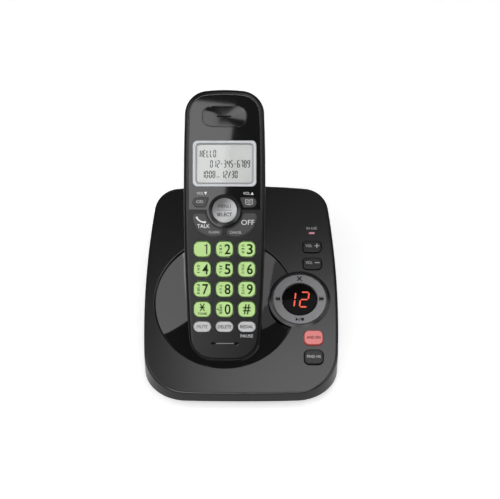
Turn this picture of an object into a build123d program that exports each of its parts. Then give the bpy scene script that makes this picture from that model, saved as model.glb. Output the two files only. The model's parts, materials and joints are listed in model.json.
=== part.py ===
from build123d import *
import math
import os

# A cordless telephone whose charging base is an answering machine. Millimetres and degrees.
# The base stands on the table with its front towards -Y. Its top panel slopes up to the back, and the
# handset leans in a round dish in that panel. Most pieces are drawn in one of two frames:
#   panel frame    x across, y up the slope, z out of the panel; origin on the base's centre line, level with
#                  the dish's centre
#   handset frame  x across, y from the lower end to the upper end, z out of the face; origin at the lower end

# ---------------------------------------------------------------- base: outline and shells
front_draw = 2.3               # how far each side draws in from the widest place to the front corner
back_draw = 6.5                # and to the back corner
widest_setback = 42.5          # the widest place, behind the front edge
front_bow = 1.6
back_bow = 3.0
front_corner = 25.0
back_corner = 15.0
panel_slope = 20.0
panel_front_height = 15.2      # the panel's front edge above the table
panel_edge_round = 1.6
parting_height = 8.5           # where the two housings meet
wall = 2.0
floor_gap = 1.5                # the bottom housing's floor above the table
floor_thickness = 2.0
bottom_inset = 6.2             # how far the bottom housing draws in at its floor
bottom_round = 1.5
lip_height = 2.0
lip_thickness = 1.2
lip_gap = 0.25

# ---------------------------------------------------------------- base: dish and handset pocket
dish_setback = 53.8            # the dish's centre behind the front edge, in plan
dish_side = 6.2                # from the base's left side to the dish's edge, at the widest place
dish_radius = 41.0
dish_gap = 0.3
dish_edge_drop = 1.5
dish_depth = 7.5               # from its edge to its middle
dish_wall = 1.8
dish_flange = 2.8
dish_trim_gap = 0.3            # to the housing's walls and the ring's collar
rim_round = 0.9
pocket_gap = 0.7               # round the handset
pocket_reach = 72.0            # along the handset, from its lower end
seat_gap = 0.3                 # under the handset's back
backrest_width = 32.0
backrest_start = 14.0          # along the handset, from its lower end
backrest_reach = 64.0
backrest_tail = 7.0
backrest_drop = 26.0
backrest_round = 2.5

# ---------------------------------------------------------------- base: buttons and lamp
button_side = 14.7             # from the buttons' centres to the base's right side
button_clearance = 0.3
button_flange = 0.9
button_flange_thickness = 0.7
button_flange_gap = 0.3
button_travel = 0.8
button_round = 0.8
button_stem_radius = 1.5
volume_size = (11.3, 7.6)
volume_corner = 2.6
volume_height = 1.1
volume_gap = 3.4               # between the two volume buttons
collar_to_volume = 0.1         # from the ring's collar to the lower one's flange
answer_size = (11.2, 9.2)
answer_corner = 3.2
answer_height = 1.5
answer_gap = 2.7               # between the answer button and the one that finds the handset
collar_to_answer = 1.0         # from the ring's collar to the upper one's flange
lamp_size = (3.2, 1.2)
lamp_gap = 4.8                 # from the upper volume button
lamp_foot = 0.8
lamp_clearance = 0.05
lamp_height = 0.15

# ---------------------------------------------------------------- base: message counter and its ring
ring_spacing = 43.6            # from the dish's centre to the ring's, across the panel
ring_side = 22.4               # from the ring's centre to the base's right side
ring_y = 1.5
counter_radius = 10.0
counter_height = 0.3
counter_plate = 1.6
counter_wall = 1.0
digit_block_length = 10.4      # along the panel; its corners touch the counter's wall but for a gap
digit_block_height = 6.6
digit_block_gap = 0.12
ring_inner_gap = 0.4
ring_width = 5.3
ring_height = 0.9
ring_plate = 1.5
ring_round = 0.5
ring_side_wall = 1.3
ring_flange = 0.9
ring_flange_thickness = 0.8
ring_tilt = 2.5
ring_plunger_radius = 0.9
collar_lip_gap = 0.45
collar_lip = 1.8               # the lip's thickness, which keeps the ring in
collar_gap = 0.5
collar_wall = 0.9
collar_height = 0.6
collar_crest = 0.25            # the flat round the lip, from which the collar slopes to the panel
collar_skirt = 7.5
carrier_gap = 0.5
carrier_width = 1.1
carrier_thickness = 1.0
carrier_pad_radius = 0.45
carrier_pin_radius = 0.45
carrier_pin_gap = 0.05
tilt_room = 0.3

# ---------------------------------------------------------------- base: inside
board_depth = 10.0             # the circuit board's face below the panel's outer face
board_thickness = 1.6
board_side = 6.9               # from the board to the base's right side, at the widest place
board_past_lamp = 7.5
board_to_back = 23.8           # from the board's back edge to the base's back, in plan
board_corner = 1.5
switch_size = 6.0
switch_height = 3.4
switch_cap = 0.6
ring_switch_size = 3.0
board_post_radius = 2.4
board_post_gap = 0.8           # to the dish's flange
board_post_inset = 3.3         # from the board's left edge
board_post_front = 4.5         # from the board's front edge
board_post_corner = (14.0, 3.0)
board_screw_radius = 0.9
board_screw_head = 1.9
board_screw_head_height = 1.2
board_screw_length = 7.0
thread_gap = 0.05
base_boss_radius = 3.2
base_boss_gap = 0.3
base_boss_collar = 1.4
front_boss_turn = 60.0         # about the centre of the front corner, towards the front
back_boss_turn = 45.0
boss_floor = 1.5               # the material under each boss
base_screw_radius = 1.3
base_screw_head = 2.8
base_screw_head_height = 1.7
base_screw_length = 8.0
screw_gap = 0.3
foot_radius = 5.0
foot_inset = 0.7
foot_side = 21.0
foot_front = 17.0
foot_back = 20.0
speaker_x = -25.0
speaker_back = 36.0            # from the base's back edge
speaker_radius = 18.0
speaker_height = 9.0
speaker_magnet = 9.0
speaker_rim = 3.0
speaker_basket = 2.0
speaker_fence = 1.5
speaker_fence_height = 3.0
speaker_gap = 0.2
speaker_slots = 7
speaker_slot_width = 1.6
speaker_slot_pitch = 4.0
keyhole_spacing = 83.0
keyhole_radius = 4.0
keyhole_slot = 4.2
keyhole_length = 8.0
jack_gap = 0.2
jack_spacing = 2.5
line_jack_x = 25.0
line_jack_size = (14.0, 15.0, 12.0)
line_jack_recess = 1.2
line_socket = (9.8, 12.0, 6.8)
line_notch = (4.2, 1.2)
power_jack_size = (9.0, 14.0, 10.0)
power_jack_recess = 2.6
power_bore_radius = 2.85
power_bore_depth = 9.5
power_pin_radius = 0.85
contact_x = 8.0
contact_y = 11.0
contact_width = 4.0
contact_length = 9.0
contact_thickness = 0.4
contact_foot = 2.5
contact_bend = 0.8
contact_gap = 0.05             # to the handset's charging pads
contact_slot_gap = 0.3

# ---------------------------------------------------------------- handset: outline and shells
handset_length = 155.3
handset_width = 46.8
handset_bottom_draw = 3.7      # how far each side draws in from the widest place to the lower end
handset_top_draw = 1.1         # and to the upper end
handset_widest = 106.0
handset_bottom_bow = 1.8
handset_top_bow = 2.6
handset_bottom_corner = 14.0
handset_top_corner = 13.5
handset_thickness = 25.0
handset_split = 9.0            # the shells meet this far behind the face
handset_wall = 1.8
face_wall = 2.6
face_edge_round = 2.2
back_edge_round = 7.0
handset_lean = 45.0
rim_to_handset = 3.7           # from the dish's front edge to the handset's end, along the handset
handset_sink = 0.2             # the handset's back below the dish's centre
faceplate_inset = 2.6
faceplate_thickness = 1.2
faceplate_gap = 0.1
faceplate_round = 0.25

# ---------------------------------------------------------------- handset: display, earpiece, microphone
display_below_top = 42.2
bezel_size = (36.3, 26.2)
bezel_corner = 2.8
bezel_window = (31.6, 21.8)
bezel_window_corner = 1.6
bezel_height = 0.25
bezel_slope = 0.9
display_lens_margin = 0.7
display_lens_thickness = 0.8
display_panel_margin = 1.4
display_gap = 0.1
ear_below_top = 15.3
ear_size = (25.4, 12.0)
ear_corner = 5.6
ear_rim = 0.35
ear_scoop = 1.5
ear_slot = (9.6, 1.4)
ear_foot = 0.4
ear_speaker_radius = 9.5
ear_speaker_height = 4.0
ear_speaker_rim = 2.0
ear_speaker_dish = 0.8
ear_speaker_dome = 3.2
microphone_y = 10.4
microphone_x = -6.2
microphone_slot = (16.7, 1.7)
microphone_slot_depth = 0.6
microphone_hole_radius = 0.75
microphone_radius = 3.0
microphone_height = 2.2

# ---------------------------------------------------------------- handset: keys
key_clearance = 0.3
key_flange = 0.7
key_flange_thickness = 0.5
key_flange_gap = 0.3
key_stem = 0.5
key_stem_inset = 1.6
key_travel = 0.7
key_stop_gap = 0.1
key_round = 0.3
key_column_pitch = 12.68
key_width = 10.1
key_row_gap = 2.43
digit_corner = 3.3
digit_height = 1.0
digit_round = 0.6
digit_above_pills = 9.96
digit_below_menu = 22.25
pill_length = 6.0
pill_y = 20.0
pill_height = 0.8
menu_below_display = 26.6
menu_radius = 6.85
menu_height = 1.2
menu_dome_radius = 32.0
menu_well_radius = 9.0
menu_well_depth = 0.8
menu_lobe_radius = 10.3
soft_key_lift = 4.45           # above the menu button's centre
soft_key_half_height = 2.65
soft_key_outer = 18.0
soft_key_inner_top = 9.0
soft_key_inner_bottom = 11.0
soft_key_round = 0.6
soft_key_height = 0.6
call_key_drop = 1.9            # the top edge, below the menu button's centre
call_key_centre = (6.5, -3.5)  # the crescent's outer circle, from the menu button's centre
call_key_radius = 11.6
call_key_hollow = 11.1
call_key_inner = 1.4
call_key_round = 1.3
call_key_height = 0.7

# ---------------------------------------------------------------- handset: inside and back
mat_thickness = 0.5
mat_margin = 1.0
handset_board_thickness = 1.6
handset_board_start = 15.5
handset_board_gap = 0.6
handset_post_radius = 1.6
handset_post_side = 2.4
handset_post_gap = 0.5
handset_screw_below_top = 14.3
handset_screw_side = 0.8       # from the earpiece to the bosses beside it
handset_boss_radius = 2.5
handset_boss_height = 6.0      # the joint of the two bosses above the back
handset_boss_step = 1.0
handset_boss_gap = 0.1
handset_screw_radius = 1.0
handset_screw_head = 2.2
handset_screw_head_height = 1.4
handset_screw_sink = 1.2
handset_screw_length = 9.0
handset_screw_gap = 0.2
bay_y = 73.0
bay_wall = 1.2
bay_spring = 2.75              # the room for a contact at each end of the cells
cell_radius = 5.25
cell_length = 44.5
cell_round = 0.5
cell_nub_radius = 1.9
cell_nub_length = 1.0
cell_gap = 0.3
cell_split = 0.2               # half the gap between the two cells
bay_plate = (8.0, 9.0, 0.5)
bay_plate_bump = (2.6, 1.6)
bay_plate_gap = 0.2
door_size = (30.0, 58.0)
door_corner = 2.5
door_thickness = 1.5
door_gap = 0.2
door_seat_gap = 0.05
door_travel = 5.0
door_ledge = 1.5
door_round = 0.3
door_ridges = 5
door_ridge_pitch = 1.8
door_ridge_size = (14.0, 0.8)
door_ridge_depth = 0.4
door_ridge_end = 8.0
loud_below_top = 31.3
loud_radius = 9.0
loud_height = 3.5
loud_rim = 1.5
loud_holes = 6
loud_hole_radius = 0.8
loud_hole_circle = 5.0
pad_size = (5.0, 8.0)
pad_thickness = 0.5
pad_gap = 0.05

# ---------------------------------------------------------------- sizes that add up across and along the base
base_width = dish_side + dish_radius + ring_spacing + ring_side
base_front_width = base_width - 2 * front_draw
base_back_width = base_width - 2 * back_draw
dish_x = dish_side + dish_radius - base_width / 2
ring_x = base_width / 2 - ring_side
button_x = base_width / 2 - button_side
board_right = base_width / 2 - board_side

ring_hole_radius = counter_radius + ring_inner_gap
ring_radius = ring_hole_radius + ring_width
ring_flange_radius = ring_radius + ring_flange
collar_bore_radius = ring_flange_radius + collar_gap
collar_radius = collar_bore_radius + collar_wall
volume_down_y = ring_y + collar_radius + collar_to_volume + button_flange + volume_size[1] / 2
volume_up_y = volume_down_y + volume_size[1] + volume_gap
lamp_y = volume_up_y + volume_size[1] / 2 + lamp_gap + lamp_size[1] / 2
answer_on_y = ring_y - collar_radius - collar_to_answer - button_flange - answer_size[1] / 2
find_handset_y = answer_on_y - answer_size[1] - answer_gap
board_back = lamp_y + board_past_lamp

# ---------------------------------------------------------------- frames
slope = math.radians(panel_slope)
front_y = -dish_setback
back_y = board_back * math.cos(slope) + board_to_back
panel_height = panel_front_height + dish_setback * math.tan(slope)
panel = Plane(origin=(0, 0, panel_height), x_dir=(1, 0, 0), z_dir=(0, -math.sin(slope), math.cos(slope)))
lean = math.radians(handset_lean)
handset_axis = Vector(0, math.cos(lean), math.sin(lean))
face_normal = Vector(0, -math.sin(lean), math.cos(lean))
rim_along = -dish_radius * math.cos(lean - slope)
handset_foot = (
    Vector(dish_x, 0, panel_height)
    + handset_axis * (rim_along + rim_to_handset)
    + face_normal * (handset_thickness - handset_sink)
)
handset = Plane(origin=handset_foot, x_dir=(1, 0, 0), z_dir=face_normal)
REACH = 400.0                  # longer than the whole object, for cutting tools
JOIN = 0.5                     # how far a rib or boss runs into the wall that carries it
CUT = 1.0                      # how far a cutting tool stands clear of a surface

# ---------------------------------------------------------------- heights and places that follow
floor_top = floor_gap + floor_thickness
boss_foot = floor_top + boss_floor
screw_seat_height = floor_gap + base_screw_head_height + screw_gap
jack_height = parting_height + lip_height + jack_gap + line_jack_size[2] / 2
power_jack_x = line_jack_x - (line_jack_size[0] + power_jack_size[0]) / 2 - jack_spacing
board_left = dish_x + handset_width / 2 + pocket_gap + dish_wall + CUT
switch_top = -board_depth + switch_height
speaker_y = back_y - speaker_back
button_flange_top = -wall - button_flange_gap
button_flange_bottom = button_flange_top - button_flange_thickness

digit_block_reach = counter_radius - counter_wall - digit_block_gap
digit_block_width = 2 * math.sqrt(digit_block_reach**2 - (digit_block_length / 2) ** 2)
ring_wall_radius = ring_radius - ring_side_wall
ring_plunger_offset = ring_wall_radius - ring_plunger_radius / 2
collar_lip_radius = ring_radius + collar_lip_gap
tilt_rise = math.sin(math.radians(ring_tilt))
ring_underside = ring_height - ring_plate
ring_flange_top = collar_height - collar_lip - 2 * ring_flange_radius * tilt_rise * math.sqrt(0.5) - tilt_room
ring_bottom = ring_flange_top - ring_flange_thickness
ring_drop = ring_plunger_offset * tilt_rise
ring_plunger_bottom = switch_top + ring_drop + key_stop_gap
carrier_hole_radius = counter_radius + carrier_gap
carrier_radius = carrier_hole_radius + carrier_width
carrier_top = ring_underside - carrier_radius * tilt_rise - tilt_room
carrier_bottom = carrier_top - carrier_thickness
carrier_axis = (carrier_top + carrier_bottom) / 2
carrier_pad_offset = (carrier_radius + carrier_hole_radius) / 2
carrier_pad_top = ring_underside - key_stop_gap

bowl_radius = dish_radius - dish_gap
sphere_radius = (bowl_radius**2 + dish_depth**2) / (2 * dish_depth)
bowl_bottom = -dish_edge_drop - dish_depth
seat_level = -handset_thickness - seat_gap

display_y = handset_length - display_below_top
ear_y = handset_length - ear_below_top
loud_y = handset_length - loud_below_top
handset_screw_x = ear_size[0] / 2 + handset_boss_radius + handset_screw_side
handset_screw_y = handset_length - handset_screw_below_top
menu_y = display_y - menu_below_display
soft_key_y = menu_y + soft_key_lift
digit_top_row = menu_y - digit_below_menu
digit_bottom_row = pill_y + digit_above_pills
digit_row_pitch = (digit_top_row - digit_bottom_row) / 3
digit_size = (key_width, digit_row_pitch - key_row_gap)

flange_top = -face_wall - key_flange_gap
flange_bottom = flange_top - key_flange_thickness
stem_bottom = flange_bottom - key_stem
mat_top = stem_bottom - key_travel - key_stop_gap
handset_board_top = mat_top - mat_thickness
handset_board_bottom = handset_board_top - handset_board_thickness
handset_post_x = handset_width / 2 - handset_wall - handset_post_radius - handset_post_side
post_row_offset = bezel_window[1] / 2 + display_panel_margin + handset_post_radius + handset_post_gap
handset_post_rows = (display_y - post_row_offset, display_y + post_row_offset)
handset_board_end = handset_post_rows[1] + handset_post_radius
back_inside = -handset_thickness + handset_wall
handset_boss_joint = -handset_thickness + handset_boss_height
handset_screw_seat = -handset_thickness + handset_screw_head_height + handset_screw_sink
handset_screw_spots = (
    (0.0, microphone_y),
    (-handset_screw_x, handset_screw_y),
    (handset_screw_x, handset_screw_y),
)
door_inside = -handset_thickness + door_thickness
bay_width = 2 * (2 * cell_radius + cell_split + cell_gap)
bay_length = cell_length + 2 * bay_spring
bay_floor = door_inside + 2 * (cell_radius + cell_gap)
cell_x = cell_radius + cell_split
cell_z = bay_floor - cell_gap - cell_radius


# ---------------------------------------------------------------- helpers
def slab(sketch, low, high):
    """The sketch as a plate from z = low to z = high."""
    return extrude(Pos(0, 0, low) * sketch, amount=high - low)


def post(radius, low, high, x=0.0, y=0.0):
    return Pos(x, y, low) * Cylinder(radius, high - low, align=(Align.CENTER, Align.CENTER, Align.MIN))


def tube(outer, inner, low, high):
    return post(outer, low, high) - post(inner, low, high)


def block(width, length, low, high, x=0.0, y=0.0):
    return Pos(x, y, low) * Box(width, length, high - low, align=(Align.CENTER, Align.CENTER, Align.MIN))


def rounded(size, corner, x=0.0, y=0.0):
    return Pos(x, y) * RectangleRounded(size[0], size[1], corner)


def grown(size, margin):
    return size[0] + 2 * margin, size[1] + 2 * margin


def top_edges(shape):
    return shape.faces().sort_by(Axis.Z)[-1].edges()


def bottom_edges(shape):
    return shape.faces().sort_by(Axis.Z)[0].edges()


def on_circle(radius, count):
    """Points spaced evenly on a circle, the first one on +X."""
    for step in range(count):
        turn = 2 * math.pi * step / count
        yield radius * math.cos(turn), radius * math.sin(turn)


def bowed_outline(
    front_width, widest, back_width, widest_y, low_y, high_y, low_bow, high_bow, low_corner, high_corner
):
    """Four bowed sides with rounded corners, drawn from the front or lower end to the back or upper end."""
    low, high = low_y + low_bow, high_y - high_bow
    front_left, front_right = (-front_width / 2, low), (front_width / 2, low)
    back_left, back_right = (-back_width / 2, high), (back_width / 2, high)
    outline = make_face(
        [
            ThreePointArc(front_left, (0, low_y), front_right),
            ThreePointArc(front_right, (widest / 2, widest_y), back_right),
            ThreePointArc(back_right, (0, high_y), back_left),
            ThreePointArc(back_left, (-widest / 2, widest_y), front_left),
        ]
    )
    outline = fillet(outline.vertices().group_by(Axis.Y)[0], low_corner)
    return fillet(outline.vertices().group_by(Axis.Y)[-1], high_corner)


def drawn_in(outline, amount):
    """A bowed outline moved in by this much, or out where it is negative. Every edge stays a plain arc."""
    moved = offset(outline, amount=-amount)
    return make_face([ThreePointArc(edge @ 0, edge @ 0.5, edge @ 1) for edge in moved.edges()])


def below_panel(depth):
    """Everything under a plane that lies this deep below the panel's outer face."""
    return panel * Pos(0, 0, -depth) * Box(REACH, REACH, REACH, align=(Align.CENTER, Align.CENTER, Align.MAX))


plan = bowed_outline(
    base_front_width,
    base_width,
    base_back_width,
    front_y + widest_setback,
    front_y,
    back_y,
    front_bow,
    back_bow,
    front_corner,
    back_corner,
)
handset_outline = bowed_outline(
    handset_width - 2 * handset_bottom_draw,
    handset_width,
    handset_width - 2 * handset_top_draw,
    handset_widest,
    0,
    handset_length,
    handset_bottom_bow,
    handset_top_bow,
    handset_bottom_corner,
    handset_top_corner,
)


# ---------------------------------------------------------------- keys and buttons
def key(outline, height, rounding):
    """A key with a flange that keeps it under the handset's face, and a stem over the keypad mat."""
    cap = slab(outline, flange_bottom, height)
    cap = fillet(top_edges(cap), rounding)
    flange = slab(offset(outline, amount=key_flange), flange_bottom, flange_top)
    stem = slab(offset(outline, amount=-key_stem_inset), stem_bottom, flange_bottom)
    return cap + flange + stem


def soft_key_outline(side):
    """A short key, round at its outer end and slanted at its inner one. side is -1 for the left key."""
    low, high = soft_key_y - soft_key_half_height, soft_key_y + soft_key_half_height
    end_x = side * (soft_key_outer - soft_key_half_height)
    body = make_face(
        Polyline(
            (end_x, low),
            (side * soft_key_inner_bottom, low),
            (side * soft_key_inner_top, high),
            (end_x, high),
            close=True,
        )
    )
    body = fillet(body.vertices().sort_by(lambda corner: abs(corner.X))[:2], soft_key_round)
    return body + Pos(end_x, soft_key_y) * Circle(soft_key_half_height)


def call_key_outline(side):
    """A crescent that follows the menu button. side is -1 for the talk key and 1 for the off key."""
    centre_x, centre_y = side * call_key_centre[0], menu_y + call_key_centre[1]
    shape = Pos(centre_x, centre_y) * Circle(call_key_radius)
    width = 2 * call_key_radius
    keep_x, keep_y = side * (call_key_inner + width / 2), menu_y - call_key_drop - width / 2
    shape &= Pos(keep_x, keep_y) * Rectangle(width, width)
    shape -= Pos(0, menu_y) * Circle(call_key_hollow)
    return fillet(shape.vertices(), call_key_round)


digit_names = ("1", "2", "3", "4", "5", "6", "7", "8", "9", "star", "0", "pound")
digit_outlines = {}
for place, name in enumerate(digit_names):
    row, column = divmod(place, 3)
    key_x, key_y = key_column_pitch * (column - 1), digit_top_row - digit_row_pitch * row
    digit_outlines[f"key_{name}"] = rounded(digit_size, digit_corner, key_x, key_y)
pill_outlines = {
    f"{name}_key": Pos(key_column_pitch * column, pill_y) * SlotOverall(key_width, pill_length)
    for column, name in zip((-1, 0, 1), ("mute", "delete", "redial"))
}
soft_outlines = {"caller_list_key": soft_key_outline(-1), "directory_key": soft_key_outline(1)}
call_outlines = {"talk_key": call_key_outline(-1), "off_key": call_key_outline(1)}
menu_outline = Pos(0, menu_y) * Circle(menu_radius)
key_outlines = [
    *digit_outlines.values(),
    *pill_outlines.values(),
    *soft_outlines.values(),
    *call_outlines.values(),
    menu_outline,
]


def menu_button():
    dome = Pos(0, menu_y, menu_height - menu_dome_radius) * Sphere(menu_dome_radius)
    return key(menu_outline, menu_height, key_round) & dome


def base_button(size, corner, height):
    """A button in the panel, with a flange under the panel and a stem over its switch."""
    outline = rounded(size, corner)
    cap = slab(outline, button_flange_bottom, height)
    cap = fillet(top_edges(cap), button_round)
    flange = slab(offset(outline, amount=button_flange), button_flange_bottom, button_flange_top)
    stem = post(button_stem_radius, switch_top + button_travel + key_stop_gap, button_flange_bottom)
    return cap + flange + stem


base_buttons = {
    "volume_up_button": (volume_size, volume_corner, volume_height, volume_up_y),
    "volume_down_button": (volume_size, volume_corner, volume_height, volume_down_y),
    "answer_on_button": (answer_size, answer_corner, answer_height, answer_on_y),
    "find_handset_button": (answer_size, answer_corner, answer_height, find_handset_y),
}


# ---------------------------------------------------------------- message counter and its ring
def message_ring():
    """The four-way ring: a plate with a side wall, a flange that keeps it in, and four plungers."""
    plate = tube(ring_radius, ring_hole_radius, ring_underside, ring_height)
    plate = fillet(plate.edges().group_by(Axis.Z)[-1], ring_round)
    ring = plate + tube(ring_radius, ring_wall_radius, ring_bottom, ring_underside)
    ring += tube(ring_flange_radius, ring_wall_radius, ring_bottom, ring_flange_top)
    for x, y in on_circle(ring_plunger_offset, 4):
        ring += post(ring_plunger_radius, ring_plunger_bottom, ring_underside, x, y)
    return Pos(ring_x, ring_y) * ring


def ring_carrier():
    """The hoop under the ring. It turns on two pins in the counter's wall, and its pads carry the ring."""
    hoop = tube(carrier_radius, carrier_hole_radius, carrier_bottom, carrier_top)
    pin_length = carrier_hole_radius - counter_radius + counter_wall
    for side in (-1, 1):
        hoop += post(carrier_pad_radius, carrier_top, carrier_pad_top, 0, side * carrier_pad_offset)
        pin_x = side * (carrier_hole_radius + carrier_width / 2 - (pin_length + carrier_width / 2) / 2)
        pin = Pos(pin_x, 0, carrier_axis) * Rotation(0, 90, 0)
        hoop += pin * Cylinder(carrier_pin_radius, pin_length + carrier_width / 2)
    return Pos(ring_x, ring_y) * hoop


def message_counter_lens():
    """The round window over the counter, a cap that stands on the circuit board."""
    cap = post(counter_radius, -board_depth, counter_height)
    cap = fillet(top_edges(cap), counter_height)
    cap -= post(counter_radius - counter_wall, -board_depth - CUT, counter_height - counter_plate)
    pin_hole = Pos(0, 0, carrier_axis) * Rotation(0, 90, 0)
    cap -= pin_hole * Cylinder(carrier_pin_radius + carrier_pin_gap, 2 * counter_radius + CUT)
    return Pos(ring_x, ring_y) * cap


def message_counter_display():
    top = -board_depth + digit_block_height
    return block(digit_block_width, digit_block_length, -board_depth, top, ring_x, ring_y)


def in_use_lamp():
    """A light guide from the board up to the panel, with a foot that keeps it under the panel."""
    foot_top = -wall - button_flange_gap
    guide = block(*lamp_size, foot_top - JOIN, lamp_height)
    foot = block(*grown(lamp_size, lamp_foot), -board_depth, foot_top)
    return Pos(button_x, lamp_y) * (guide + foot)


# ---------------------------------------------------------------- base housings
def corner_spot(width, corner, corner_y, turn, towards):
    """A boss that follows the round of a corner. towards is -1 for a front corner and 1 for a back one."""
    reach = corner - wall - lip_gap - lip_thickness - base_boss_gap - base_boss_radius
    x = width / 2 - corner + reach * math.cos(math.radians(turn))
    return x, corner_y + towards * reach * math.sin(math.radians(turn))


front_corner_y = front_y + front_bow + front_corner
back_corner_y = back_y - back_bow - back_corner
front_boss = corner_spot(base_front_width, front_corner, front_corner_y, front_boss_turn, -1)
back_boss = corner_spot(base_back_width, back_corner, back_corner_y, back_boss_turn, 1)
base_boss_spots = [(side * x, y) for x, y in (front_boss, back_boss) for side in (-1, 1)]
foot_x = base_front_width / 2 - foot_side
foot_spots = [(side * foot_x, y) for y in (front_y + foot_front, back_y - foot_back) for side in (-1, 1)]
post_ring = dish_radius + dish_flange + board_post_radius + board_post_gap
post_x = board_left + board_post_inset
post_y = math.sqrt(post_ring**2 - (post_x - dish_x) ** 2)
board_front = -post_y - board_post_front
board_posts = [
    (post_x, -post_y),
    (post_x, post_y),
    (board_right - board_post_corner[0], board_back - board_post_corner[1]),
]


def jack_window(x, size):
    """The cutting tool for a socket's hole in the back wall."""
    depth = 2 * (wall + back_bow + CUT)
    return Pos(x, back_y, jack_height) * Box(size[0] + 2 * jack_gap, depth, size[2] + 2 * jack_gap)


def base_top_housing():
    shell = slab(plan, parting_height, REACH / 2) & below_panel(0)
    face = shell.faces().sort_by(Axis((0, 0, 0), panel.z_dir))[-1]
    shell = fillet(face.edges(), panel_edge_round)
    shell -= slab(drawn_in(plan, wall), 0, REACH / 2) & below_panel(wall)
    shell -= panel * post(dish_radius, -2 * wall, 2 * wall, dish_x)
    circles = shell.edges().filter_by(GeomType.CIRCLE)
    rim = circles.filter_by(lambda edge: abs(edge.radius - dish_radius) < rim_round / 2)
    shell = fillet(rim.sort_by(Axis((0, 0, 0), panel.z_dir))[-1:], rim_round)
    shell += panel * Pos(ring_x, ring_y) * ring_collar()
    shell -= panel * Pos(ring_x, ring_y) * ring_well()
    for size, corner, _, y in base_buttons.values():
        hole = rounded(grown(size, button_clearance), corner + button_clearance, button_x, y)
        shell -= panel * slab(hole, -2 * wall, 2 * wall)
    shell -= panel * block(*grown(lamp_size, lamp_clearance), -2 * wall, 2 * wall, button_x, lamp_y)
    for x, y in board_posts:
        boss = post(board_post_radius, -board_depth, -wall + JOIN, x, y)
        shell += panel * (boss - post(board_screw_radius + thread_gap, -board_depth - CUT, -wall, x, y))
    for x, y in base_boss_spots:
        shell += post(base_boss_radius, boss_foot, REACH / 2, x, y) & below_panel(wall - JOIN)
        shell -= post(base_screw_radius + thread_gap, 0, screw_seat_height + base_screw_length + CUT, x, y)
    shell -= jack_window(line_jack_x, line_jack_size)
    return shell - jack_window(power_jack_x, power_jack_size)


def ring_collar():
    """A skirt under the panel, and above it a low cone up to the lip."""
    crown = Cone(collar_radius, collar_lip_radius + collar_crest, collar_height)
    return post(collar_radius, -collar_skirt, 0) + Pos(0, 0, collar_height / 2) * crown


def ring_well():
    """The hole for the ring, with a lip at its top that keeps the ring in."""
    well = post(collar_bore_radius, -collar_skirt - CUT, collar_height - collar_lip)
    return well + post(collar_lip_radius, -collar_skirt - CUT, collar_height + CUT)


def bottom_drum(low, inset_low, inset_high):
    """A drum that draws in from the parting line to its lower end."""
    low_face = Pos(0, 0, low) * drawn_in(plan, inset_low)
    high_face = Pos(0, 0, parting_height) * (drawn_in(plan, inset_high) if inset_high else plan)
    return loft([low_face, high_face], ruled=True)


def keyhole(y):
    """A round hole for a screw's head and a slot above it, for a wall."""
    head = post(keyhole_radius, 0, floor_top + CUT, 0, y)
    return head + block(keyhole_slot, keyhole_length, 0, floor_top + CUT, 0, y + keyhole_length / 2)


def base_bottom_housing():
    shell = bottom_drum(floor_gap, bottom_inset, 0)
    shell = fillet(bottom_edges(shell), bottom_round)
    inner_share = (parting_height - floor_top) / (parting_height - floor_gap)
    shell -= bottom_drum(floor_top, bottom_inset * inner_share + wall, wall)
    lip = drawn_in(plan, wall + lip_gap) - drawn_in(plan, wall + lip_gap + lip_thickness)
    shell += slab(lip, parting_height - lip_height, parting_height + lip_height)
    for x, y in base_boss_spots:
        shell += post(base_boss_radius + base_boss_collar, floor_top - JOIN, boss_foot, x, y)
        shell -= post(base_screw_head + screw_gap, 0, screw_seat_height, x, y)
        shell -= post(base_screw_radius + screw_gap, 0, boss_foot + CUT, x, y)
    for x, y in foot_spots:
        shell -= post(foot_radius + thread_gap, 0, floor_gap + foot_inset, x, y)
    for turn in range(speaker_slots):
        across = (turn - (speaker_slots - 1) / 2) * speaker_slot_pitch
        length = 2 * math.sqrt((speaker_radius - speaker_slot_pitch / 2) ** 2 - across**2)
        slot = Pos(speaker_x, speaker_y + across) * SlotOverall(length, speaker_slot_width)
        shell -= slab(slot, 0, floor_top + CUT)
    fence_bore = speaker_radius + speaker_gap
    fence = tube(fence_bore + speaker_fence, fence_bore, floor_top - JOIN, floor_top + speaker_fence_height)
    shell += Pos(speaker_x, speaker_y) * fence
    for side in (-1, 1):
        shell -= keyhole((front_y + back_y - keyhole_length) / 2 + side * keyhole_spacing / 2)
    for x, size, recess in (
        (line_jack_x, line_jack_size, line_jack_recess),
        (power_jack_x, power_jack_size, power_jack_recess),
    ):
        rest = block(size[0] - wall, size[1] / 2, floor_top - JOIN, jack_height - size[2] / 2)
        shell += Pos(x, back_y - recess - size[1] / 2) * rest
    return shell


# ---------------------------------------------------------------- dish
def under_bowl(drop, radius):
    """Everything under the bowl's surface, or under a surface this much lower, out to a radius."""
    hollow = Pos(dish_x, 0, bowl_bottom - drop + sphere_radius) * Sphere(sphere_radius)
    return panel * (post(radius, -REACH / 4, -dish_edge_drop - drop / 2, dish_x) - hollow)


def handset_column(margin, low):
    """The handset's outline with a margin, from z = low outwards, as far along as the pocket reaches."""
    reach = pocket_reach + margin
    keep = Pos(0, reach - REACH / 2) * Rectangle(REACH, REACH)
    return handset * slab(drawn_in(handset_outline, -margin) & keep, low, REACH / 4)


def backrest():
    """The wedge that stands out of the dish behind the handset."""
    foot = seat_level - backrest_drop
    side = make_face(
        Polyline(
            (backrest_start, seat_level),
            (backrest_reach, seat_level),
            (backrest_reach + backrest_tail, foot),
            (backrest_start, foot),
            close=True,
        )
    )
    wedge = extrude(Pos(-backrest_width / 2, 0, 0) * (Plane.YZ * side), amount=backrest_width, dir=(1, 0, 0))
    crest = wedge.edges().filter_by(Axis.X).sort_by_distance((0, backrest_reach, seat_level))[0]
    return fillet(crest, backrest_round)


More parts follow.
